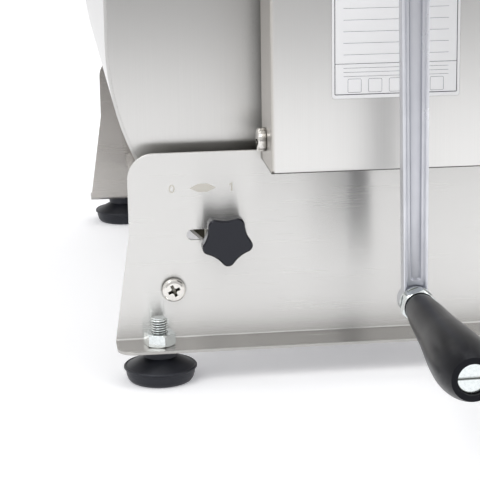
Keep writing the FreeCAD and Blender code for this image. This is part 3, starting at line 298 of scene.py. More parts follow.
# The lid's darker grey is painted shade.
lid_sheet = brushed_stainless(
    "ground_stainless_lid", ALONG, "#c7c6c4", "#c4c3c1", roughness=0.38, smear=0.6
)
end_sheet = brushed_stainless(
    "ground_stainless_tank_end", UPRIGHT, "#dbdad8", "#d8d7d5", 0.3, 0.85, shade_places=GAP_SHADE
)
paddle_steel = brushed_stainless(
    "ground_stainless_paddle", UPRIGHT, "#d6d5d3", "#cdcbc8", roughness=0.33, smear=0.5
)
print("sheet finishes:", stand_sheet.name, cover_sheet.name, tank_sheet.name, end_sheet.name)

# %% [markdown]
# A sheet doesn't look the same on all its sides. The cover's two upright sides, from
# the middle of the bend on, are painted greyer than its face: painted shade. Only the
# direction of the surface tells them apart, so a node reads its normal.

# %% Painted shade on the cover's sides
SIDE_SHADE = "#bfbbb6"
SIDE_FROM = 0.15
SIDE_TO = 0.7


def normal_part(tree, part):
    """The part of the surface's normal along a named axis, from -1 to 1."""
    surface = add_node(tree, "ShaderNodeNewGeometry")
    parts = add_node(tree, "ShaderNodeSeparateXYZ", {}, {0: surface.outputs["Normal"]})
    return parts.outputs[part]


def facing_share(tree, part, start, end):
    """Zero to one as the size of a part of the normal goes from start to end."""
    either_way = add_node(
        tree, "ShaderNodeMath", {}, {0: normal_part(tree, part)}, operation="ABSOLUTE"
    )
    share = add_node(
        tree, "ShaderNodeMapRange", {"From Min": start, "From Max": end},
        {"Value": either_way.outputs[0]},
    )
    return share.outputs["Result"]


def mix_in(material, colour, share):
    """Mixes one more colour over a finish's own, by a share from zero to one."""
    tree = material.node_tree
    shader = tree.nodes["Principled BSDF"]
    own = shader.inputs["Base Color"].links[0].from_socket
    mix = add_node(
        tree, "ShaderNodeMix", {SECOND_COLOUR: linear(colour)},
        {MIX_SHARE: share, FIRST_COLOUR: own}, data_type="RGBA",
    )
    tree.links.new(mix.outputs[MIXED_COLOUR], shader.inputs["Base Color"])


# The cover's greyer sides are painted shade.
cover_side_shade = facing_share(cover_sheet.node_tree, "X", SIDE_FROM, SIDE_TO)
mix_in(cover_sheet, SIDE_SHADE, cover_side_shade)
print("the cover's sides are", SIDE_SHADE)

# %% [markdown]
# ## Painted shade that changes with height
# The cover's lower edge is folded in. The fold runs along the cover's lowest millimetre,
# whose height comes from the solid, and is painted dark there: painted shade.
# A stand's lowest sheet is its flange. It lies flat, and it is painted a duller grey
# than the upright sheet above: painted shade.
# The far stand's inner side is pale at its foot and painted greyer towards its shoulder,
# where the tank stands close before it: painted shade. The Y part of the normal tells
# its two sides apart.

# %% Lowest edges and the far stand
FAR_SHADE = "#9a9692"
FAR_PALE_TO = 25.0
FAR_SHADE_FROM = 115.0
FAR_INNER = 0.3
FOLD_WIDTH = 0.9
FOLD_SHADE = "#5d5b58"
FADE = 0.3
FLANGE_REACH = 1.85
FLANGE_SHADE = "#bfbdba"


def height_share(tree, start_mm, end_mm):
    """Zero to one as a place on the solid goes from one height to the other."""
    place = add_node(tree, "ShaderNodeTexCoord")
    parts = add_node(tree, "ShaderNodeSeparateXYZ", {}, {0: place.outputs["Object"]})
    share = add_node(
        tree, "ShaderNodeMapRange", {"From Min": start_mm * MM, "From Max": end_mm * MM},
        {"Value": parts.outputs["Z"]},
    )
    return share.outputs["Result"]


def darken_lowest(material, node, reach_mm, dark):
    """Mixes a darker colour, painted shade, into a node's lowest edge, and fades it out at the
    top.
    """
    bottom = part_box(node)[0].z / MM
    top = bottom + reach_mm
    mix_in(material, dark, height_share(material.node_tree, top, top - FADE))
    print(node, "is darker from z =", round(bottom, 1), "to", round(top, 1), "mm")


# The far stand's inner side turns greyer upwards: painted shade.
far_tree = far_sheet.node_tree
inner_side = add_node(
    far_tree, "ShaderNodeMapRange", {"From Min": FAR_INNER, "From Max": -FAR_INNER},
    {"Value": normal_part(far_tree, "Y")},
)
shaded_height = height_share(far_tree, FAR_PALE_TO, FAR_SHADE_FROM)
far_shade_share = add_node(
    far_tree, "ShaderNodeMath", {}, {0: inner_side.outputs["Result"], 1: shaded_height},
    operation="MULTIPLY",
)
mix_in(far_sheet, FAR_SHADE, far_shade_share.outputs[0])
# The cover's fold and the stands' flanges are painted darker: painted shade.
darken_lowest(cover_sheet, "gear_cover", FOLD_WIDTH, FOLD_SHADE)
darken_lowest(stand_sheet, "crank_stand", FLANGE_REACH, FLANGE_SHADE)
darken_lowest(far_sheet, "far_stand", FLANGE_REACH, FLANGE_SHADE)

# %% [markdown]
# ## Turned stainless
# Rings, bushes, shafts and rods are turned on a lathe. The tool leaves rings about
# the axis, and the bright streak of a lamp fans out from the centre of a turned face.
# A tangent that circles the axis gives the same fan.

# %% Turned metal
RING_PITCH = 0.5
RING_STRETCH = (40.0, 1.0, 40.0)
RING_WEAR = 0.04
RING_DEPTH = 0.008
TURNED_EDGE = 0.25


def turned_metal(name, light, dark, roughness, smear):
    """Lathe turned metal with tool rings about an axis along Y."""
    material, tree, shader = new_finish(name, light, 1.0, roughness)
    rings = noise_of(tree, RING_PITCH, RING_STRETCH)
    colour = two_tones(tree, rings, dark, light)
    tree.links.new(colour, shader.inputs["Base Color"])
    uneven_shine(tree, shader, rings, roughness - RING_WEAR, roughness + RING_WEAR)
    circling = add_node(tree, "ShaderNodeTangent", direction_type="RADIAL", axis="Y")
    tree.links.new(circling.outputs[0], shader.inputs["Tangent"])
    shader.inputs["Anisotropic"].default_value = smear
    relief(tree, shader, rings, RING_DEPTH, TURNED_EDGE)
    return material


turned_stainless = turned_metal(
    "lathe_turned_stainless", "#dad9d7", "#cfcdcb", roughness=0.24, smear=0.5
)
sintered_bronze = turned_metal(
    "sintered_bronze", "#c79a58", "#a97f44", roughness=0.42, smear=0.2
)
print("turned finishes:", turned_stainless.name, sintered_bronze.name)

# %% [markdown]
# ## Smooth and plated metal
# Screws are polished stainless. Nuts, studs and bolts are steel with bright zinc,
# which is smooth, a little cold in colour and slightly clouded. The gears are hobbed
# steel with a film of grease, which a thin clear coat stands for. Painted shade and dirt
# darken the cross of a screw and the root of a thread here, because their reach is short.

# %% Screws, zinc and gear steel
CLOUD_DULL = 0.06
CLOUD_SHINE = 0.02
CLOUD_HEIGHT = 0.003
# Narrow places, thread roots and screw crosses get painted shade and dirt.
NARROW_SHADE_AND_DIRT = (1.6, 0.45, 0.9)
THREAD_ROOT_SHADE_AND_DIRT = (1.0, 0.45, 0.9)
CROSS_SHADE_AND_DIRT = (3.0, 0.5, 1.0)
GREASE_COAT = 0.5
GREASE_ROUGHNESS = 0.15


def clouded_metal(name, light, dark, roughness, cloud_mm, edge_mm, shade_places=NARROW_SHADE_AND_DIRT):
    """Smooth metal with a faint cloudiness, broken edges, and painted shade and dirt in its
    narrow places.
    """
    material, tree, shader = new_finish(name, light, 1.0, roughness)
    clouds = noise_of(tree, cloud_mm)
    colour = two_tones(tree, clouds, dark, light)
    colour = shaded_and_soiled(tree, colour, GREASE_AND_SHADE, shade_places)
    tree.links.new(colour, shader.inputs["Base Color"])
    uneven_shine(tree, shader, clouds, roughness + CLOUD_DULL, roughness - CLOUD_SHINE)
    relief(tree, shader, clouds, CLOUD_HEIGHT, edge_mm)
    return material


polished_screw = clouded_metal(
    "polished_stainless_screw", "#e6e3df", "#dbd8d3",
    roughness=0.14, cloud_mm=1.5, edge_mm=0.3, shade_places=CROSS_SHADE_AND_DIRT,
)
bright_zinc = clouded_metal(
    "bright_zinc", "#e6ebeb", "#d7dddd",
    roughness=0.17, cloud_mm=1.2, edge_mm=0.2, shade_places=THREAD_ROOT_SHADE_AND_DIRT,
)
gear_steel = clouded_metal(
    "greased_gear_steel", "#9a9894", "#827f7a", roughness=0.34, cloud_mm=1.0, edge_mm=0.2
)
gear_shader = gear_steel.node_tree.nodes["Principled BSDF"]
gear_shader.inputs["Coat Weight"].default_value = GREASE_COAT
gear_shader.inputs["Coat Roughness"].default_value = GREASE_ROUGHNESS
print("smooth finishes:", polished_screw.name, bright_zinc.name, gear_steel.name)

# %% [markdown]
# ## Cast aluminium
# The crank arm is a casting that was polished in front and on its sides. Its skin keeps
# a trace of the mould's pebble, its high edges are rubbed smooth, and it looks bluer
# than the steel beside it. Two noises make the skin: a fine one for the pebble and a
# broad one for the cloudy shine. The corners of its long recess are painted grey: painted
# shade, and partly the skin that a polishing wheel doesn't reach. Its sides are painted a
# little darker and its back dark, both painted shade. The arm only ever turns about Y,
# so the Y part of the surface's normal always tells the back and sides from the front.

# %% Cast aluminium
PEBBLE_SIZE = 0.7
PEBBLE_DETAIL = 3.0
PEBBLE_HEIGHT = 0.03
SHINE_SIZE = 9.0
SHINE_STRETCH = (1.0, 1.0, 2.5)
SHINE_DULL = 0.07
SHINE_BRIGHT = 0.05
CAST_EDGE = 0.7
# The recess grey is painted shade and unpolished skin; the back and side greys are painted
# shade.
UNPOLISHED_AND_SHADE = "#5d6273"
RECESS_SHADE = (6.0, 0.25, 1.0)
CAST_BACK_SHADE = "#6b6c70"
BACK_FROM = 0.5
BACK_TO = 0.9
CAST_SIDE_SHADE = "#c3c4c9"
CAST_SIDE_FROM = 0.8
CAST_SIDE_TO = 0.3


def cast_metal(name, light, dark, roughness):
    """A polished casting: pebbled, cloudy, with rounded edges, and painted shade and unpolished
    skin in its corners.
    """
    material, tree, shader = new_finish(name, light, 1.0, roughness)
    pebble = noise_of(tree, PEBBLE_SIZE, detail=PEBBLE_DETAIL)
    clouds = noise_of(tree, SHINE_SIZE, SHINE_STRETCH)
    colour = two_tones(tree, clouds, dark, light)
    colour = shaded_and_soiled(tree, colour, UNPOLISHED_AND_SHADE, RECESS_SHADE)
    tree.links.new(colour, shader.inputs["Base Color"])
    uneven_shine(tree, shader, clouds, roughness + SHINE_DULL, roughness - SHINE_BRIGHT)
    relief(tree, shader, pebble, PEBBLE_HEIGHT, CAST_EDGE)
    return material


cast_aluminium = cast_metal("polished_cast_aluminium", "#e2e3e8", "#d3d4da", roughness=0.3)
cast_tree = cast_aluminium.node_tree
# The arm's back and sides are painted darker: painted shade.
back_shade = add_node(
    cast_tree, "ShaderNodeMapRange", {"From Min": BACK_FROM, "From Max": BACK_TO},
    {"Value": normal_part(cast_tree, "Y")},
)
mix_in(cast_aluminium, CAST_BACK_SHADE, back_shade.outputs["Result"])
mix_in(cast_aluminium, CAST_SIDE_SHADE, facing_share(cast_tree, "Y", CAST_SIDE_FROM, CAST_SIDE_TO))
print("cast finish:", cast_aluminium.name)

# %% [markdown]
# ## Plastics and rubber
# The knob and the grip are black phenolic from a polished mould, smooth and glossy. The
# feet are black rubber: duller, with a little bloom that greys it where it is not
# handled. All of them reflect about four percent of the light, which the default IOR of
# 1.5 gives. On black that is most of what the eye sees: a face that mirrors white paper
# looks dark grey, so the colour under the shine is nearly black. The shine itself is a
# trace bluish. Hands have worn the grip, which has lost over half of its shine.

# %% Plastics and rubber
COLD_SHINE = "#edf0fb"
WORN_SHINE = 0.2
BLOOM_WEAR = 0.02
MOULDED_EDGE = 0.3


def moulded(name, dark, light, roughness, grain_mm, grain_height, bloom_mm):
    """A moulded plastic or rubber with a fine grain and a slow change of colour."""
    material, tree, shader = new_finish(name, dark, 0.0, roughness)
    grain = noise_of(tree, grain_mm, detail=1.0)
    bloom = noise_of(tree, bloom_mm)
    colour = two_tones(tree, bloom, dark, light)
    tree.links.new(colour, shader.inputs["Base Color"])
    uneven_shine(tree, shader, bloom, roughness - BLOOM_WEAR, roughness + BLOOM_WEAR)
    relief(tree, shader, grain, grain_height, MOULDED_EDGE)
    return material


knob_phenolic = moulded(
    "black_phenolic_knob", "#04040d", "#060610",
    roughness=0.2, grain_mm=0.5, grain_height=0.001, bloom_mm=12.0,
)
grip_phenolic = moulded(
    "black_phenolic_grip", "#06060a", "#08080d",
    roughness=0.3, grain_mm=0.6, grain_height=0.001, bloom_mm=15.0,
)
foot_rubber = moulded(
    "black_foot_rubber", "#131418", "#1d1e24",
    roughness=0.42, grain_mm=0.6, grain_height=0.01, bloom_mm=8.0,
)
seal_rubber = moulded(
    "nitrile_seal", "#0c0c0d", "#121213",
    roughness=0.45, grain_mm=0.5, grain_height=0.01, bloom_mm=6.0,
)
for black in (knob_phenolic, grip_phenolic, foot_rubber):
    black_shader = black.node_tree.nodes["Principled BSDF"]
    black_shader.inputs["Specular Tint"].default_value = linear(COLD_SHINE)
grip_shader = grip_phenolic.node_tree.nodes["Principled BSDF"]
grip_shader.inputs["Specular IOR Level"].default_value = WORN_SHINE
white_nylon = moulded(
    "white_nylon", "#dedcd2", "#e8e6de",
    roughness=0.4, grain_mm=0.6, grain_height=0.01, bloom_mm=10.0,
)
print("moulded finishes:", knob_phenolic.name, grip_phenolic.name, foot_rubber.name)

# %% [markdown]
# ## Dress the solids
# The solids already have the right shapes, so they stay, and each node takes the
# finish of its real piece. A list per finish keeps this readable.

# %% Give each solid its finish
FOOT_NUMBERS = range(1, 5)
PADDLE_NUMBERS = range(1, 7)
FINISHES = [
    (stand_sheet, ["crank_stand"]),
    (far_sheet, ["far_stand"]),
    (cover_sheet, ["gear_cover"]),
    (tank_sheet, ["tank_shell"]),
    (lid_sheet, ["lid"]),
    (end_sheet, ["crank_end_plate", "far_end_plate", "tank_rim"]),
    (paddle_steel, ["paddle_%d" % number for number in PADDLE_NUMBERS]),
    (turned_stainless, [
        "crank_trunnion", "far_trunnion", "crank_pivot_housing", "far_pivot_housing",
        "crank_rear_housing", "cover_boss", "drive_stub", "paddle_shaft", "drive_pin",
        "far_spindle", "tie_rods", "lid_handle", "lock_guide", "crank_shaft",
    ]),
    (sintered_bronze, [
        "crank_pivot_bush", "far_pivot_bush", "crank_rear_bush", "drive_sleeve", "cover_bush",
    ]),
    (white_nylon, ["shaft_far_bush", "lock_wedge"]),
    (seal_rubber, ["shaft_seal"]),
    (gear_steel, ["paddle_gear", "pinion", "gear_key"]),
    (polished_screw, ["tie_rod_screws", "cover_screws", "lid_screws"]),
    (bright_zinc, [
        "foot_locknuts", "spindle_nut", "grip_spindle", "gear_bolt", "arm_bolt",
        "lock_stud", "lock_washer",
    ]),
    (cast_aluminium, ["crank_arm"]),
    (grip_phenolic, ["crank_grip"]),
    (knob_phenolic, ["lock_knob"]),
    (foot_rubber, ["foot_pad_%d" % number for number in FOOT_NUMBERS]),
]


def dress(node, material):
    """Puts one material on every slot of a node's mesh."""
    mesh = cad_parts[node].data
    mesh.materials.clear()
    mesh.materials.append(material)


for material, nodes in FINISHES:
    for node in nodes:
        dress(node, material)
print("dressed", sum(len(nodes) for material, nodes in FINISHES), "nodes")

# %% [markdown]
# ## Screw threads on the feet
# Each foot hangs on an M8 stud with a pitch of 1.25 mm, and its top stands out of the
# locknut. A thread is a ridge that climbs as it goes round: the radius of the rod at
# any point depends only on how far that point is up the ridge. So the rod is a grid of
# rings whose radius rises and falls with height less turn, which needs no screw tool
# and closes neatly at both ends. Steep flanks leave a narrow flat at root and crest.

# %% Threaded studs
M8_PITCH = 1.25
THREAD_SIDES = 40
THREAD_STEPS = 8
THREAD_DEPTH = 0.72
FLANK_STEEPNESS = 1.35
STUD_PLAIN = 4.0
STUD_LEAD = 0.8


def piece_of(name, points, faces):
    """A new object in the scene, made from its points and faces."""
    mesh = bpy.data.meshes.new(name)
    mesh.from_pydata(points, [], faces)
    piece = bpy.data.objects.new(name, mesh)
    bpy.context.scene.collection.objects.link(piece)
    return piece


def thread_profile(phase):
    """How far the thread stands up, from 0 at its root to 1 at its flat crest."""
    slope = abs(2 * (phase % 1.0) - 1)
    flat = (FLANK_STEEPNESS - 1) / 2
    return min(max(slope * FLANK_STEEPNESS - flat, 0.0), 1.0)


def threaded_rod(name, base, radius, length, plain, lead):
    """An upright rod from base: plain first, then threaded, with a bevelled tip."""
    rings = int(length / (M8_PITCH * MM) * THREAD_STEPS)
    points = []
    for ring in range(rings + 1):
        up = length * ring / rings
        for side in range(THREAD_SIDES):
            turn = side / THREAD_SIDES
            deep = THREAD_DEPTH * MM * (1 - thread_profile(up / (M8_PITCH * MM) - turn))
            started = min(max((up - plain) / (M8_PITCH * MM), 0.0), 1.0)
            tip = max(up - (length - lead), 0.0)
            reach = radius - max(deep * started, tip)
            angle = 2 * math.pi * turn
            points.append(base + Vector((reach * math.cos(angle), reach * math.sin(angle), up)))
    faces = []
    for ring in range(rings):
        for side in range(THREAD_SIDES):
            here = ring * THREAD_SIDES + side
            beside = ring * THREAD_SIDES + (side + 1) % THREAD_SIDES
            faces.append((here, beside, beside + THREAD_SIDES, here + THREAD_SIDES))
    top = rings * THREAD_SIDES
    faces.append(tuple(range(THREAD_SIDES - 1, -1, -1)))
    faces.append(tuple(range(top, top + THREAD_SIDES)))
    return piece_of(name, points, faces)


for number in FOOT_NUMBERS:
    low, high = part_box("foot_stud_%d" % number)
    middle = (low + high) / 2
    stud = threaded_rod(
        "foot_thread_%d" % number, Vector((middle.x, middle.y, low.z)),
        (high.x - low.x) / 2, high.z - low.z, plain=STUD_PLAIN * MM, lead=STUD_LEAD * MM,
    )
    stud.data.materials.append(bright_zinc)
    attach(stud, "foot_%d" % number)
    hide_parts("foot_stud_%d" % number)
print("four threaded studs of", len(stud.data.vertices), "points each")

# %% [markdown]
# ## Marks over the slot
# The stand carries marks etched by laser: a long double arrow that says which way the
# lock slides, with a plain 0 and a plain 1 at its two ends. Etching leaves a matt, warm
# grey frost a few microns deep. A decal mesh 0.03 mm proud of the sheet holds it: each
# mark is an outline drawn in millimetres. A closed flat curve fills itself, leaves out
# an outline inside another, which gives the 0 its hole, and is extruded a little.

# %% Flat marks
FROST_SIZE = 0.5


def flat_mark(name, outlines, across, height, front, thickness, material):
    """Flat closed outlines in the upright plane, as a thin plate standing on a face."""
    curve = bpy.data.curves.new(name, "CURVE")
    curve.dimensions = "2D"
    curve.fill_mode = "BOTH"
    curve.extrude = thickness / 2
    for outline in outlines:
        spline = curve.splines.new("POLY")
        spline.points.add(len(outline) - 1)
        for point, (x, z) in zip(spline.points, outline):
            point.co = (x * MM, z * MM, 0.0, 1.0)
        spline.use_cyclic_u = True
    curve.materials.append(material)
    shape = bpy.data.objects.new(name, curve)
    mesh = bpy.data.meshes.new_from_object(shape)
    piece = bpy.data.objects.new(name, mesh)
    bpy.data.objects.remove(shape)
    stand_up = Matrix.Rotation(math.radians(90), 4, "X")
    place = Matrix.Translation((across, front - thickness / 2, height))
    piece.data.transform(place @ stand_up)
    bpy.context.scene.collection.objects.link(piece)
    return piece


def oval(half_width, half_height, sides=40):
    """An ellipse about the origin, in millimetres."""
    turns = [2 * math.pi * side / sides for side in range(sides)]
    return [(half_width * math.cos(turn), half_height * math.sin(turn)) for turn in turns]


def etched_finish():
    """Laser frosted stainless: dull, warm grey and a little mottled."""
    material, tree, shader = new_finish(
        "laser_etched_stainless", "#e8e4db", metallic=0.1, roughness=0.6
    )
    frost = noise_of(tree, FROST_SIZE)
    colour = two_tones(tree, frost, "#e4e0d7", "#ece8e0")
    tree.links.new(colour, shader.inputs["Base Color"])
    return material


etch = etched_finish()
print("etched finish:", etch.name)

# %% [markdown]
# The marks stand in one row above the slot, all equally high. The arrow is a diamond
# drawn out to both sides, the 0 is an oval with an oval hole, and the 1 is a stem with
# a small flag. The lock's washer lies on the sheet, so its back gives the sheet's face.

# %% Arrow, zero and one
MARK_UP = 95.5
MARK_THICKNESS = 0.03
MARK_HALF = 2.15
ARROW_TIP = 6.65
ARROW_SHOULDER = 2.3
ZERO_OUTSIDE = (1.55, MARK_HALF)
ZERO_INSIDE = (0.75, 1.4)
ONE_HALF = 0.45
ARROW_ACROSS = -90.5
ZERO_ACROSS = -106.0
ONE_ACROSS = -76.0
plate_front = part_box("lock_washer")[1].y
arrow = [
    (-ARROW_TIP, 0), (-ARROW_SHOULDER, MARK_HALF), (ARROW_SHOULDER, MARK_HALF),
    (ARROW_TIP, 0), (ARROW_SHOULDER, -MARK_HALF), (-ARROW_SHOULDER, -MARK_HALF),
]
zero = [oval(*ZERO_OUTSIDE), oval(*ZERO_INSIDE)]
one_stem = [(-ONE_HALF, -MARK_HALF), (ONE_HALF, -MARK_HALF), (ONE_HALF, MARK_HALF)]
one_flag = [(-0.25, MARK_HALF), (-1.45, 1.3), (-1.05, 0.65), (-ONE_HALF, 1.1)]
marks = [
    ("mark_arrow", [arrow], ARROW_ACROSS),
    ("mark_zero", zero, ZERO_ACROSS),
    ("mark_one", [one_stem + one_flag], ONE_ACROSS),
]
for name, outlines, across in marks:
    mark = flat_mark(
        name, outlines, across * MM, MARK_UP * MM, plate_front, MARK_THICKNESS * MM, etch
    )
    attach(mark, "frame")
print("marks stand on y =", round(plate_front / MM, 2), "mm")

# %% [markdown]
# ## The label
# A white vinyl label sits on the cover. Vinyl is 0.1 mm thick with a soft shine. It
# also glows a trace bluish white of its own: a painted glow that stands for the whitener
# in it and lifts its white. The label is a rectangle with round corners, filled like the marks.

# %% Label
LABEL_LEFT = -31.2
LABEL_BOTTOM = 144.4
LABEL_WIDTH = 62.0
LABEL_HEIGHT = 54.0
LABEL_CORNER = 1.6
LABEL_THICKNESS = 0.1 * MM
LABEL_GLOW = 0.05


def rounded_box(left, bottom, width, height, radius, sides=6):
    """A rectangle with round corners, in millimetres."""
    points = []
    corners = [
        (left + width - radius, bottom + height - radius, 0),
        (left + radius, bottom + height - radius, 90),
        (left + radius, bottom + radius, 180),
        (left + width - radius, bottom + radius, 270),
    ]
    for x, z, start in corners:
        for step in range(sides + 1):
            angle = math.radians(start + 90 * step / sides)
            points.append((x + radius * math.cos(angle), z + radius * math.sin(angle)))
    return points


label_vinyl = moulded(
    "white_vinyl_label", "#fafafc", "#fdfdfe",
    roughness=0.3, grain_mm=2.0, grain_height=0.002, bloom_mm=20.0,
)
label_shader = label_vinyl.node_tree.nodes["Principled BSDF"]
# The label's faint emission is a painted glow.
label_shader.inputs["Emission Color"].default_value = linear("#f4f6ff")
label_shader.inputs["Emission Strength"].default_value = LABEL_GLOW
cover_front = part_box("gear_cover")[0].y
label = flat_mark(
    "cover_label",
    [rounded_box(LABEL_LEFT, LABEL_BOTTOM, LABEL_WIDTH, LABEL_HEIGHT, LABEL_CORNER)],
    0.0, 0.0, cover_front, LABEL_THICKNESS, label_vinyl,
)
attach(label, "frame")
print("label on y =", round(cover_front / MM, 2), "mm")

# %% [markdown]
# The print is the same kind of flat mark as the etching, in thin dark strips: a border,
# ruled lines and a row of boxes. A frame is two outlines, one in the other. A divider
# parts the five spaced lines above from the three close lines and the boxes below.

# %% Printed border, rules and boxes
INK_THICKNESS = 0.02 * MM
BORDER_SIDE = 1.2
BORDER_END = 1.8
BORDER_CORNER = 0.6
BORDER_LINE = 0.4
LEAST_CORNER = 0.05
DIVIDER_UP = 16.6
DIVIDER_INSET = 1.6
DIVIDER_LINE = 0.25
DIVIDER_ROUND = 0.1
RULE_INSET = 5.5
RULE_LINE = 0.15
RULE_ROUND = 0.05
CLOSE_RULES = [10.6 + 2.0 * row for row in range(3)]
SPACED_RULES = [21.0 + 5.5 * row for row in range(5)]
BOX_LEFT = 7.6
BOX_STEP = 10.0
BOX_COUNT = 5
BOX_UP = 2.9
BOX_SIZE = 6.6
BOX_CORNER = 0.7
BOX_LINE = 0.15


def ruled_frame(left, bottom, width, height, radius, line):
    """The outer and inner outline of a thin printed frame."""
    inner_radius = max(radius - line, LEAST_CORNER)
    inner = rounded_box(
        left + line, bottom + line, width - 2 * line, height - 2 * line, inner_radius
    )
    return [rounded_box(left, bottom, width, height, radius), inner]


def ruled_line(up, inset, line, rounding):
    """A printed line across the label, at a height above its lower edge."""
    return rounded_box(
        LABEL_LEFT + inset, LABEL_BOTTOM + up, LABEL_WIDTH - 2 * inset, line, rounding, sides=2
    )


label_ink = moulded(
    "grey_label_ink", "#45464b", "#505156",
    roughness=0.4, grain_mm=1.0, grain_height=0.002, bloom_mm=5.0,
)
label_face = cover_front - LABEL_THICKNESS
border = ruled_frame(
    LABEL_LEFT + BORDER_SIDE, LABEL_BOTTOM + BORDER_END,
    LABEL_WIDTH - 2 * BORDER_SIDE, LABEL_HEIGHT - 2 * BORDER_END, BORDER_CORNER, BORDER_LINE,
)
rules = [ruled_line(DIVIDER_UP, DIVIDER_INSET, DIVIDER_LINE, DIVIDER_ROUND)]
for up in CLOSE_RULES + SPACED_RULES:
    rules.append(ruled_line(up, RULE_INSET, RULE_LINE, RULE_ROUND))
boxes = []
for column in range(BOX_COUNT):
    boxes += ruled_frame(
        LABEL_LEFT + BOX_LEFT + BOX_STEP * column, LABEL_BOTTOM + BOX_UP,
        BOX_SIZE, BOX_SIZE, BOX_CORNER, BOX_LINE,
    )
for name, outlines in (("label_border", border), ("label_rules", rules), ("label_boxes", boxes)):
    strips = flat_mark(name, outlines, 0.0, 0.0, label_face, INK_THICKNESS, label_ink)
    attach(strips, "frame")
print("print on y =", round(label_face / MM, 2), "mm, with", len(rules), "ruled lines")

# %% [markdown]
# ## Weld beads
# Paddles, shaft and bearing housings are welded. A hand made bead is a row of small
# overlapping pools, like fallen coins. The bead here is a tube along the joint whose
# radius swells and shrinks with each pool, half sunk in the two pieces it joins.

# %% A bead along a route
POOL_LENGTH = 1.7
POOL_LEAST = 0.86
POOL_SWELL = 0.22
BEAD_END = 0.3
BEAD_SIDES = 10
NEARLY_UPRIGHT = 0.9


def bead_faces(count, closed):
    """The faces of a tube of so many rings, joined into a loop or shut at its ends."""
    faces = []
    for index in range(count if closed else count - 1):
        ahead = (index + 1) % count
        for side in range(BEAD_SIDES):
            beside = (side + 1) % BEAD_SIDES
            faces.append((
                index * BEAD_SIDES + side, ahead * BEAD_SIDES + side,
                ahead * BEAD_SIDES + beside, index * BEAD_SIDES + beside,
            ))
    if not closed:
        last = (count - 1) * BEAD_SIDES
        faces.append(tuple(range(BEAD_SIDES)))
        faces.append(tuple(last + side for side in range(BEAD_SIDES - 1, -1, -1)))
    return faces


def weld_bead(name, route, radius, closed):
    """A tube along a route of close points, with a swell for each weld pool."""
    points = []
    count = len(route)
    travelled = 0.0
    for index, place in enumerate(route):
        before = route[index - 1] if index or closed else place
        after = route[(index + 1) % count] if index + 1 < count or closed else place
        forward = (after - before).normalized()
        helper = Vector((0, 0, 1)) if abs(forward.z) < NEARLY_UPRIGHT else Vector((1, 0, 0))
        aside = forward.cross(helper).normalized()
        above = aside.cross(forward)
        travelled += (place - before).length
        pool = (travelled / (POOL_LENGTH * MM)) % 1.0
        thick = radius * (POOL_LEAST + POOL_SWELL * math.sqrt(1 - pool))
        if not closed and index in (0, count - 1):
            thick = radius * BEAD_END
        for side in range(BEAD_SIDES):
            angle = 2 * math.pi * side / BEAD_SIDES
            points.append(place + thick * (aside * math.cos(angle) + above * math.sin(angle)))
    piece = piece_of(name, points, bead_faces(count, closed))
    piece.data.polygons.foreach_set("use_smooth", [True] * len(piece.data.polygons))
    piece.data.materials.append(weld_steel)
    return piece


weld_steel = clouded_metal(
    "stainless_weld", "#c9c4bb", "#9c948a", roughness=0.3, cloud_mm=1.0, edge_mm=0.1
)
print("weld pools of", POOL_LENGTH, "mm")

# %% [markdown]
# The far pivot's housing is welded to its stand all the way round, so its bead closes
# on itself. The ring's size and place come from the housing's own box.

# %% Housing weld
HOUSING_BEAD = 1.6
HOUSING_STEPS = 360
housing_low, housing_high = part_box("far_pivot_housing")
ring_radius = (housing_high.x - housing_low.x) / 2
ring_height = (housing_high.z + housing_low.z) / 2
ring_route = []
for step in range(HOUSING_STEPS):
    angle = 2 * math.pi * step / HOUSING_STEPS
    ring_route.append(Vector((
        ring_radius * math.cos(angle), housing_low.y, ring_height + ring_radius * math.sin(angle)
    )))
far_bead = weld_bead("far_housing_weld", ring_route, HOUSING_BEAD * MM, closed=True)
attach(far_bead, "frame")
print("bead of", len(far_bead.data.vertices), "points round the far housing")

# %% [markdown]
# Each paddle's arm is welded to the shaft along both of its faces. The beads follow the
# tube's round surface, so their height comes from the tube's radius.

# %% Paddle welds
ARM_WIDTH = 18.0 * MM
ARM_THICKNESS = 5.0 * MM
ARM_BEAD = 1.5
ARM_STEPS = 32
PADDLE_PITCH = 32.0
shaft_low, shaft_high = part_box("paddle_shaft")
tube_radius = (shaft_high.z - shaft_low.z) / 2
tube_height = (shaft_high.z + shaft_low.z) / 2


def paddle_weld(number, face):
    """The bead along one face of a paddle's arm, on the paddle shaft."""
    up = 1 if number % 2 else -1
    low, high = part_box("paddle_%d" % number)
    middle = (low.y + high.y) / 2
    pitch = math.radians(PADDLE_PITCH * up)
    route = []
    for step in range(ARM_STEPS + 1):
        along = ARM_WIDTH * (step / ARM_STEPS - 0.5)
        x = math.cos(pitch) * face - math.sin(pitch) * along
        y = math.sin(pitch) * face + math.cos(pitch) * along
        rise = math.sqrt(tube_radius ** 2 - x ** 2)
        route.append(Vector((x * up, middle + y, tube_height + up * rise)))
    name = "paddle_%d_weld_%s" % (number, "front" if face else "back")
    return weld_bead(name, route, ARM_BEAD * MM, closed=False)


for number in PADDLE_NUMBERS:
    for face in (-ARM_THICKNESS, 0.0):
        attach(paddle_weld(number, face), "paddles")
print("twelve paddle beads")

# %% [markdown]
# ## Floor and world
# The machine stands on a plain white paper. To the camera and in mirror reflections the
# paper glows a little, as if it were lit from below like a light table: that makes it
# white out to the horizon and lifts the shadow under the machine to a pale grey. For
# the light that bounces off it, it is a light grey, so that the machine is not lit
# from below. The Light Path node tells the two apart.

# %% Floor
FLOOR_SIZE = 40.0
PAPER_WHITE = "#ffffff"
PAPER_BOUNCE = "#d9d9d9"


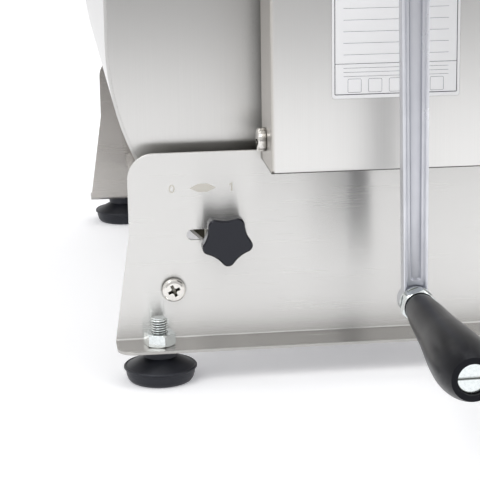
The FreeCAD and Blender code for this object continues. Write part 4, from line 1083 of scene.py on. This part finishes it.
def seen_or_mirrored(tree):
    """One where a ray comes from the camera or off a mirror or through glass."""
    path = add_node(tree, "ShaderNodeLightPath")
    first = add_node(
        tree, "ShaderNodeMath", {},
        {0: path.outputs["Is Camera Ray"], 1: path.outputs["Is Glossy Ray"]},
        operation="MAXIMUM",
    )
    both = add_node(
        tree, "ShaderNodeMath", {},
        {0: first.outputs[0], 1: path.outputs["Is Transmission Ray"]},
        operation="MAXIMUM",
    )
    return both.outputs[0]


half = FLOOR_SIZE / 2
floor_corners = [(-half, -half, 0), (half, -half, 0), (half, half, 0), (-half, half, 0)]
floor = piece_of("floor", floor_corners, [(0, 1, 2, 3)])
paper, paper_tree, paper_shader = new_finish(
    "white_paper_floor", PAPER_WHITE, metallic=0.0, roughness=0.9
)
paper_shader.inputs["Specular IOR Level"].default_value = 0.0
paper_shader.inputs["Emission Color"].default_value = linear("#f6f7ff")
paper_seen = seen_or_mirrored(paper_tree)
paper_colour = add_node(
    paper_tree, "ShaderNodeMix",
    {FIRST_COLOUR: linear(PAPER_BOUNCE), SECOND_COLOUR: linear(PAPER_WHITE)},
    {MIX_SHARE: paper_seen}, data_type="RGBA",
)
floor.data.materials.append(paper)
print("floor", FLOOR_SIZE, "m wide")

# %% [markdown]
# In a studio the paper ends near the camera. So in mirrors, and only there, it falls
# off into the dim room, from about 1 m in front of the machine's middle. A mix of two
# numbers, in sockets 2 and 3, makes the share of the paper that is left. The factor
# that scales a vector or a colour goes in at socket 3 too.

# %% The paper's end
PAPER_FADES_FROM = -0.95
PAPER_FADES_TO = -1.25
PAPER_FADED = 0.3
FIRST_NUMBER = 2
SECOND_NUMBER = 3
SCALE_FACTOR = 3
paper_place = add_node(paper_tree, "ShaderNodeTexCoord")
paper_parts = add_node(
    paper_tree, "ShaderNodeSeparateXYZ", {}, {0: paper_place.outputs["Object"]}
)
paper_end = add_node(
    paper_tree, "ShaderNodeMapRange",
    {"From Min": PAPER_FADES_FROM, "From Max": PAPER_FADES_TO,
     "To Min": 1.0, "To Max": PAPER_FADED},
    {"Value": paper_parts.outputs["Y"]},
    interpolation_type="SMOOTHSTEP",
)
paper_path = add_node(paper_tree, "ShaderNodeLightPath")
paper_share = add_node(
    paper_tree, "ShaderNodeMix", {FIRST_NUMBER: 1.0},
    {MIX_SHARE: paper_path.outputs["Is Glossy Ray"], SECOND_NUMBER: paper_end.outputs["Result"]},
)
paper_dimmed = add_node(
    paper_tree, "ShaderNodeVectorMath", {},
    {0: paper_colour.outputs[MIXED_COLOUR], SCALE_FACTOR: paper_share.outputs[0]},
    operation="SCALE",
)
paper_tree.links.new(paper_dimmed.outputs[0], paper_shader.inputs["Base Color"])
print("in mirrors the paper ends at y =", PAPER_FADES_TO, "m")

# %% [markdown]
# Away from the lamps the paper would turn grey, so there the camera sees more glow,
# until paper and backdrop are the same white and the horizon vanishes.

# %% The paper's glow
PAPER_GLOW = 0.22
FAR_GLOW = 0.25
FAR_FROM = 0.5
FAR_TO = 2.5
seen_glow = add_node(
    paper_tree, "ShaderNodeMapRange", {"To Max": PAPER_GLOW}, {"Value": paper_seen}
)
near_glow = add_node(
    paper_tree, "ShaderNodeMath", {},
    {0: seen_glow.outputs["Result"], 1: paper_share.outputs[0]}, operation="MULTIPLY",
)
paper_distance = add_node(
    paper_tree, "ShaderNodeVectorMath", {}, {0: paper_place.outputs["Object"]},
    operation="LENGTH",
)
added_glow = add_node(
    paper_tree, "ShaderNodeMapRange",
    {"From Min": FAR_FROM, "From Max": FAR_TO, "To Max": FAR_GLOW},
    {"Value": paper_distance.outputs["Value"]},
)
far_glow = add_node(
    paper_tree, "ShaderNodeMath", {},
    {0: added_glow.outputs["Result"], 1: paper_path.outputs["Is Camera Ray"]},
    operation="MULTIPLY",
)
all_glow = add_node(
    paper_tree, "ShaderNodeMath", {}, {0: near_glow.outputs[0], 1: far_glow.outputs[0]},
    operation="ADD",
)
paper_tree.links.new(all_glow.outputs[0], paper_shader.inputs["Emission Strength"])
print("the paper glows", PAPER_GLOW, "and far off", PAPER_GLOW + FAR_GLOW)

# %% [markdown]
# The world is a white studio. It lights the machine with about half the strength of the
# white that the eye sees behind it. In a real studio the room behind the camera is
# darker than the paper and the walls beside it, and steel shows that: without something
# darker to mirror, bright metal looks flat. So mirrors see a greyer room low in front,
# and nearly white walls elsewhere.

# %% World
WORLD_LIGHT = 0.55
ROOM_DARK = 0.66
ROOM_LIGHT = 0.95
ROOM_TONES = {"To Min": ROOM_DARK, "To Max": ROOM_LIGHT}
FRONT = -0.9
SIDE = -0.1
LEVEL = 0.3
HIGH = 0.8
world = bpy.data.worlds.new("white_studio")
bpy.context.scene.world = world
world.use_nodes = True
sky = world.node_tree
sky.nodes.clear()
direction = add_node(sky, "ShaderNodeTexCoord")
parts = add_node(sky, "ShaderNodeSeparateXYZ", {}, {0: direction.outputs["Generated"]})
beside = add_node(
    sky, "ShaderNodeMapRange", {"From Min": FRONT, "From Max": SIDE, **ROOM_TONES},
    {"Value": parts.outputs["Y"]},
)
above = add_node(
    sky, "ShaderNodeMapRange", {"From Min": LEVEL, "From Max": HIGH, **ROOM_TONES},
    {"Value": parts.outputs["Z"]},
)
room = add_node(
    sky, "ShaderNodeMath", {}, {0: beside.outputs["Result"], 1: above.outputs["Result"]},
    operation="MAXIMUM",
)
path = add_node(sky, "ShaderNodeLightPath")
seen = add_node(
    sky, "ShaderNodeMath", {},
    {0: path.outputs["Is Camera Ray"], 1: path.outputs["Is Transmission Ray"]},
    operation="MAXIMUM",
)
white = linear("#ffffff")
lighting = add_node(sky, "ShaderNodeBackground", {"Color": white, "Strength": WORLD_LIGHT})
mirrored = add_node(
    sky, "ShaderNodeBackground", {"Color": white}, {"Strength": room.outputs[0]}
)
backdrop = add_node(sky, "ShaderNodeBackground", {"Color": white, "Strength": 1.0})
glossy = add_node(
    sky, "ShaderNodeMixShader", {},
    {0: path.outputs["Is Glossy Ray"], 1: lighting.outputs[0], 2: mirrored.outputs[0]},
)
final = add_node(
    sky, "ShaderNodeMixShader", {},
    {0: seen.outputs[0], 1: glossy.outputs[0], 2: backdrop.outputs[0]},
)
add_node(sky, "ShaderNodeOutputWorld", {}, {"Surface": final.outputs[0]})
print("world lights at", WORLD_LIGHT, "and mirrors see", ROOM_DARK, "to", ROOM_LIGHT)

# %% [markdown]
# ## Lamps
# Three large soft lamps stand for studio softboxes: a main one high on the left in
# front, a weaker one on the right and one overhead. Large lamps give shadows with soft
# edges and long gentle highlights on bent steel.

# %% Lamps


def softbox(name, place, target, width, power):
    """Adds a square area lamp at place, pointed at target."""
    lamp = bpy.data.lights.new(name, "AREA")
    lamp.size = width
    lamp.energy = power
    holder = bpy.data.objects.new(name, lamp)
    holder.location = place
    aim = Vector(target) - Vector(place)
    holder.rotation_euler = aim.to_track_quat("-Z", "Y").to_euler()
    bpy.context.scene.collection.objects.link(holder)


machine_middle = (0.0, 0.0, 0.15)
softbox("main_softbox", (-1.3, -1.5, 2.1), machine_middle, width=1.4, power=26.0)
softbox("side_softbox", (1.9, -1.0, 1.5), machine_middle, width=1.2, power=12.6)
softbox("top_softbox", (0.1, 0.5, 2.6), machine_middle, width=1.6, power=12.4)
print("three softboxes")

# %% [markdown]
# ## Camera
# The picture is taken from about a metre in front, a little to the left of the machine's
# middle and no higher than its lid, with a long lens. The camera's place and its three
# angles come from matching the machine's known edges in the photograph. The picture was
# cropped off centre, which the lens shift reproduces.

# %% Camera
LENS_PIXELS = 1833.23
PICTURE_PIXELS = 480.0
CENTRE_ACROSS = 285.21
CENTRE_DOWN = 239.44
CAMERA_PLACE = Vector((-172.89, -966.63, 297.29)) * MM
LOOKING_DOWN = math.radians(14.411)
LOOKING_RIGHT = math.radians(7.930)
CAMERA_ROLL = math.radians(-0.514)
lens = bpy.data.cameras.new("photo_camera")
lens.sensor_fit = "HORIZONTAL"
lens.sensor_width = 36.0
lens.lens = LENS_PIXELS * lens.sensor_width / PICTURE_PIXELS
lens.shift_x = (PICTURE_PIXELS / 2 - CENTRE_ACROSS) / PICTURE_PIXELS
lens.shift_y = (CENTRE_DOWN - PICTURE_PIXELS / 2) / PICTURE_PIXELS
camera = bpy.data.objects.new("photo_camera", lens)
forward = Vector((
    math.sin(LOOKING_RIGHT) * math.cos(LOOKING_DOWN),
    math.cos(LOOKING_RIGHT) * math.cos(LOOKING_DOWN),
    -math.sin(LOOKING_DOWN),
))
level = Vector((math.cos(LOOKING_RIGHT), -math.sin(LOOKING_RIGHT), 0.0))
upward = level.cross(forward)
right = level * math.cos(CAMERA_ROLL) + upward * math.sin(CAMERA_ROLL)
up = -level * math.sin(CAMERA_ROLL) + upward * math.cos(CAMERA_ROLL)
turn = Matrix((right, up, -forward)).transposed().to_4x4()
camera.matrix_world = Matrix.Translation(CAMERA_PLACE) @ turn
bpy.context.scene.collection.objects.link(camera)
bpy.context.scene.camera = camera
bpy.context.scene.view_settings.view_transform = "Standard"
print("lens", round(lens.lens, 1), "mm, shift", round(lens.shift_x, 4), round(lens.shift_y, 4))
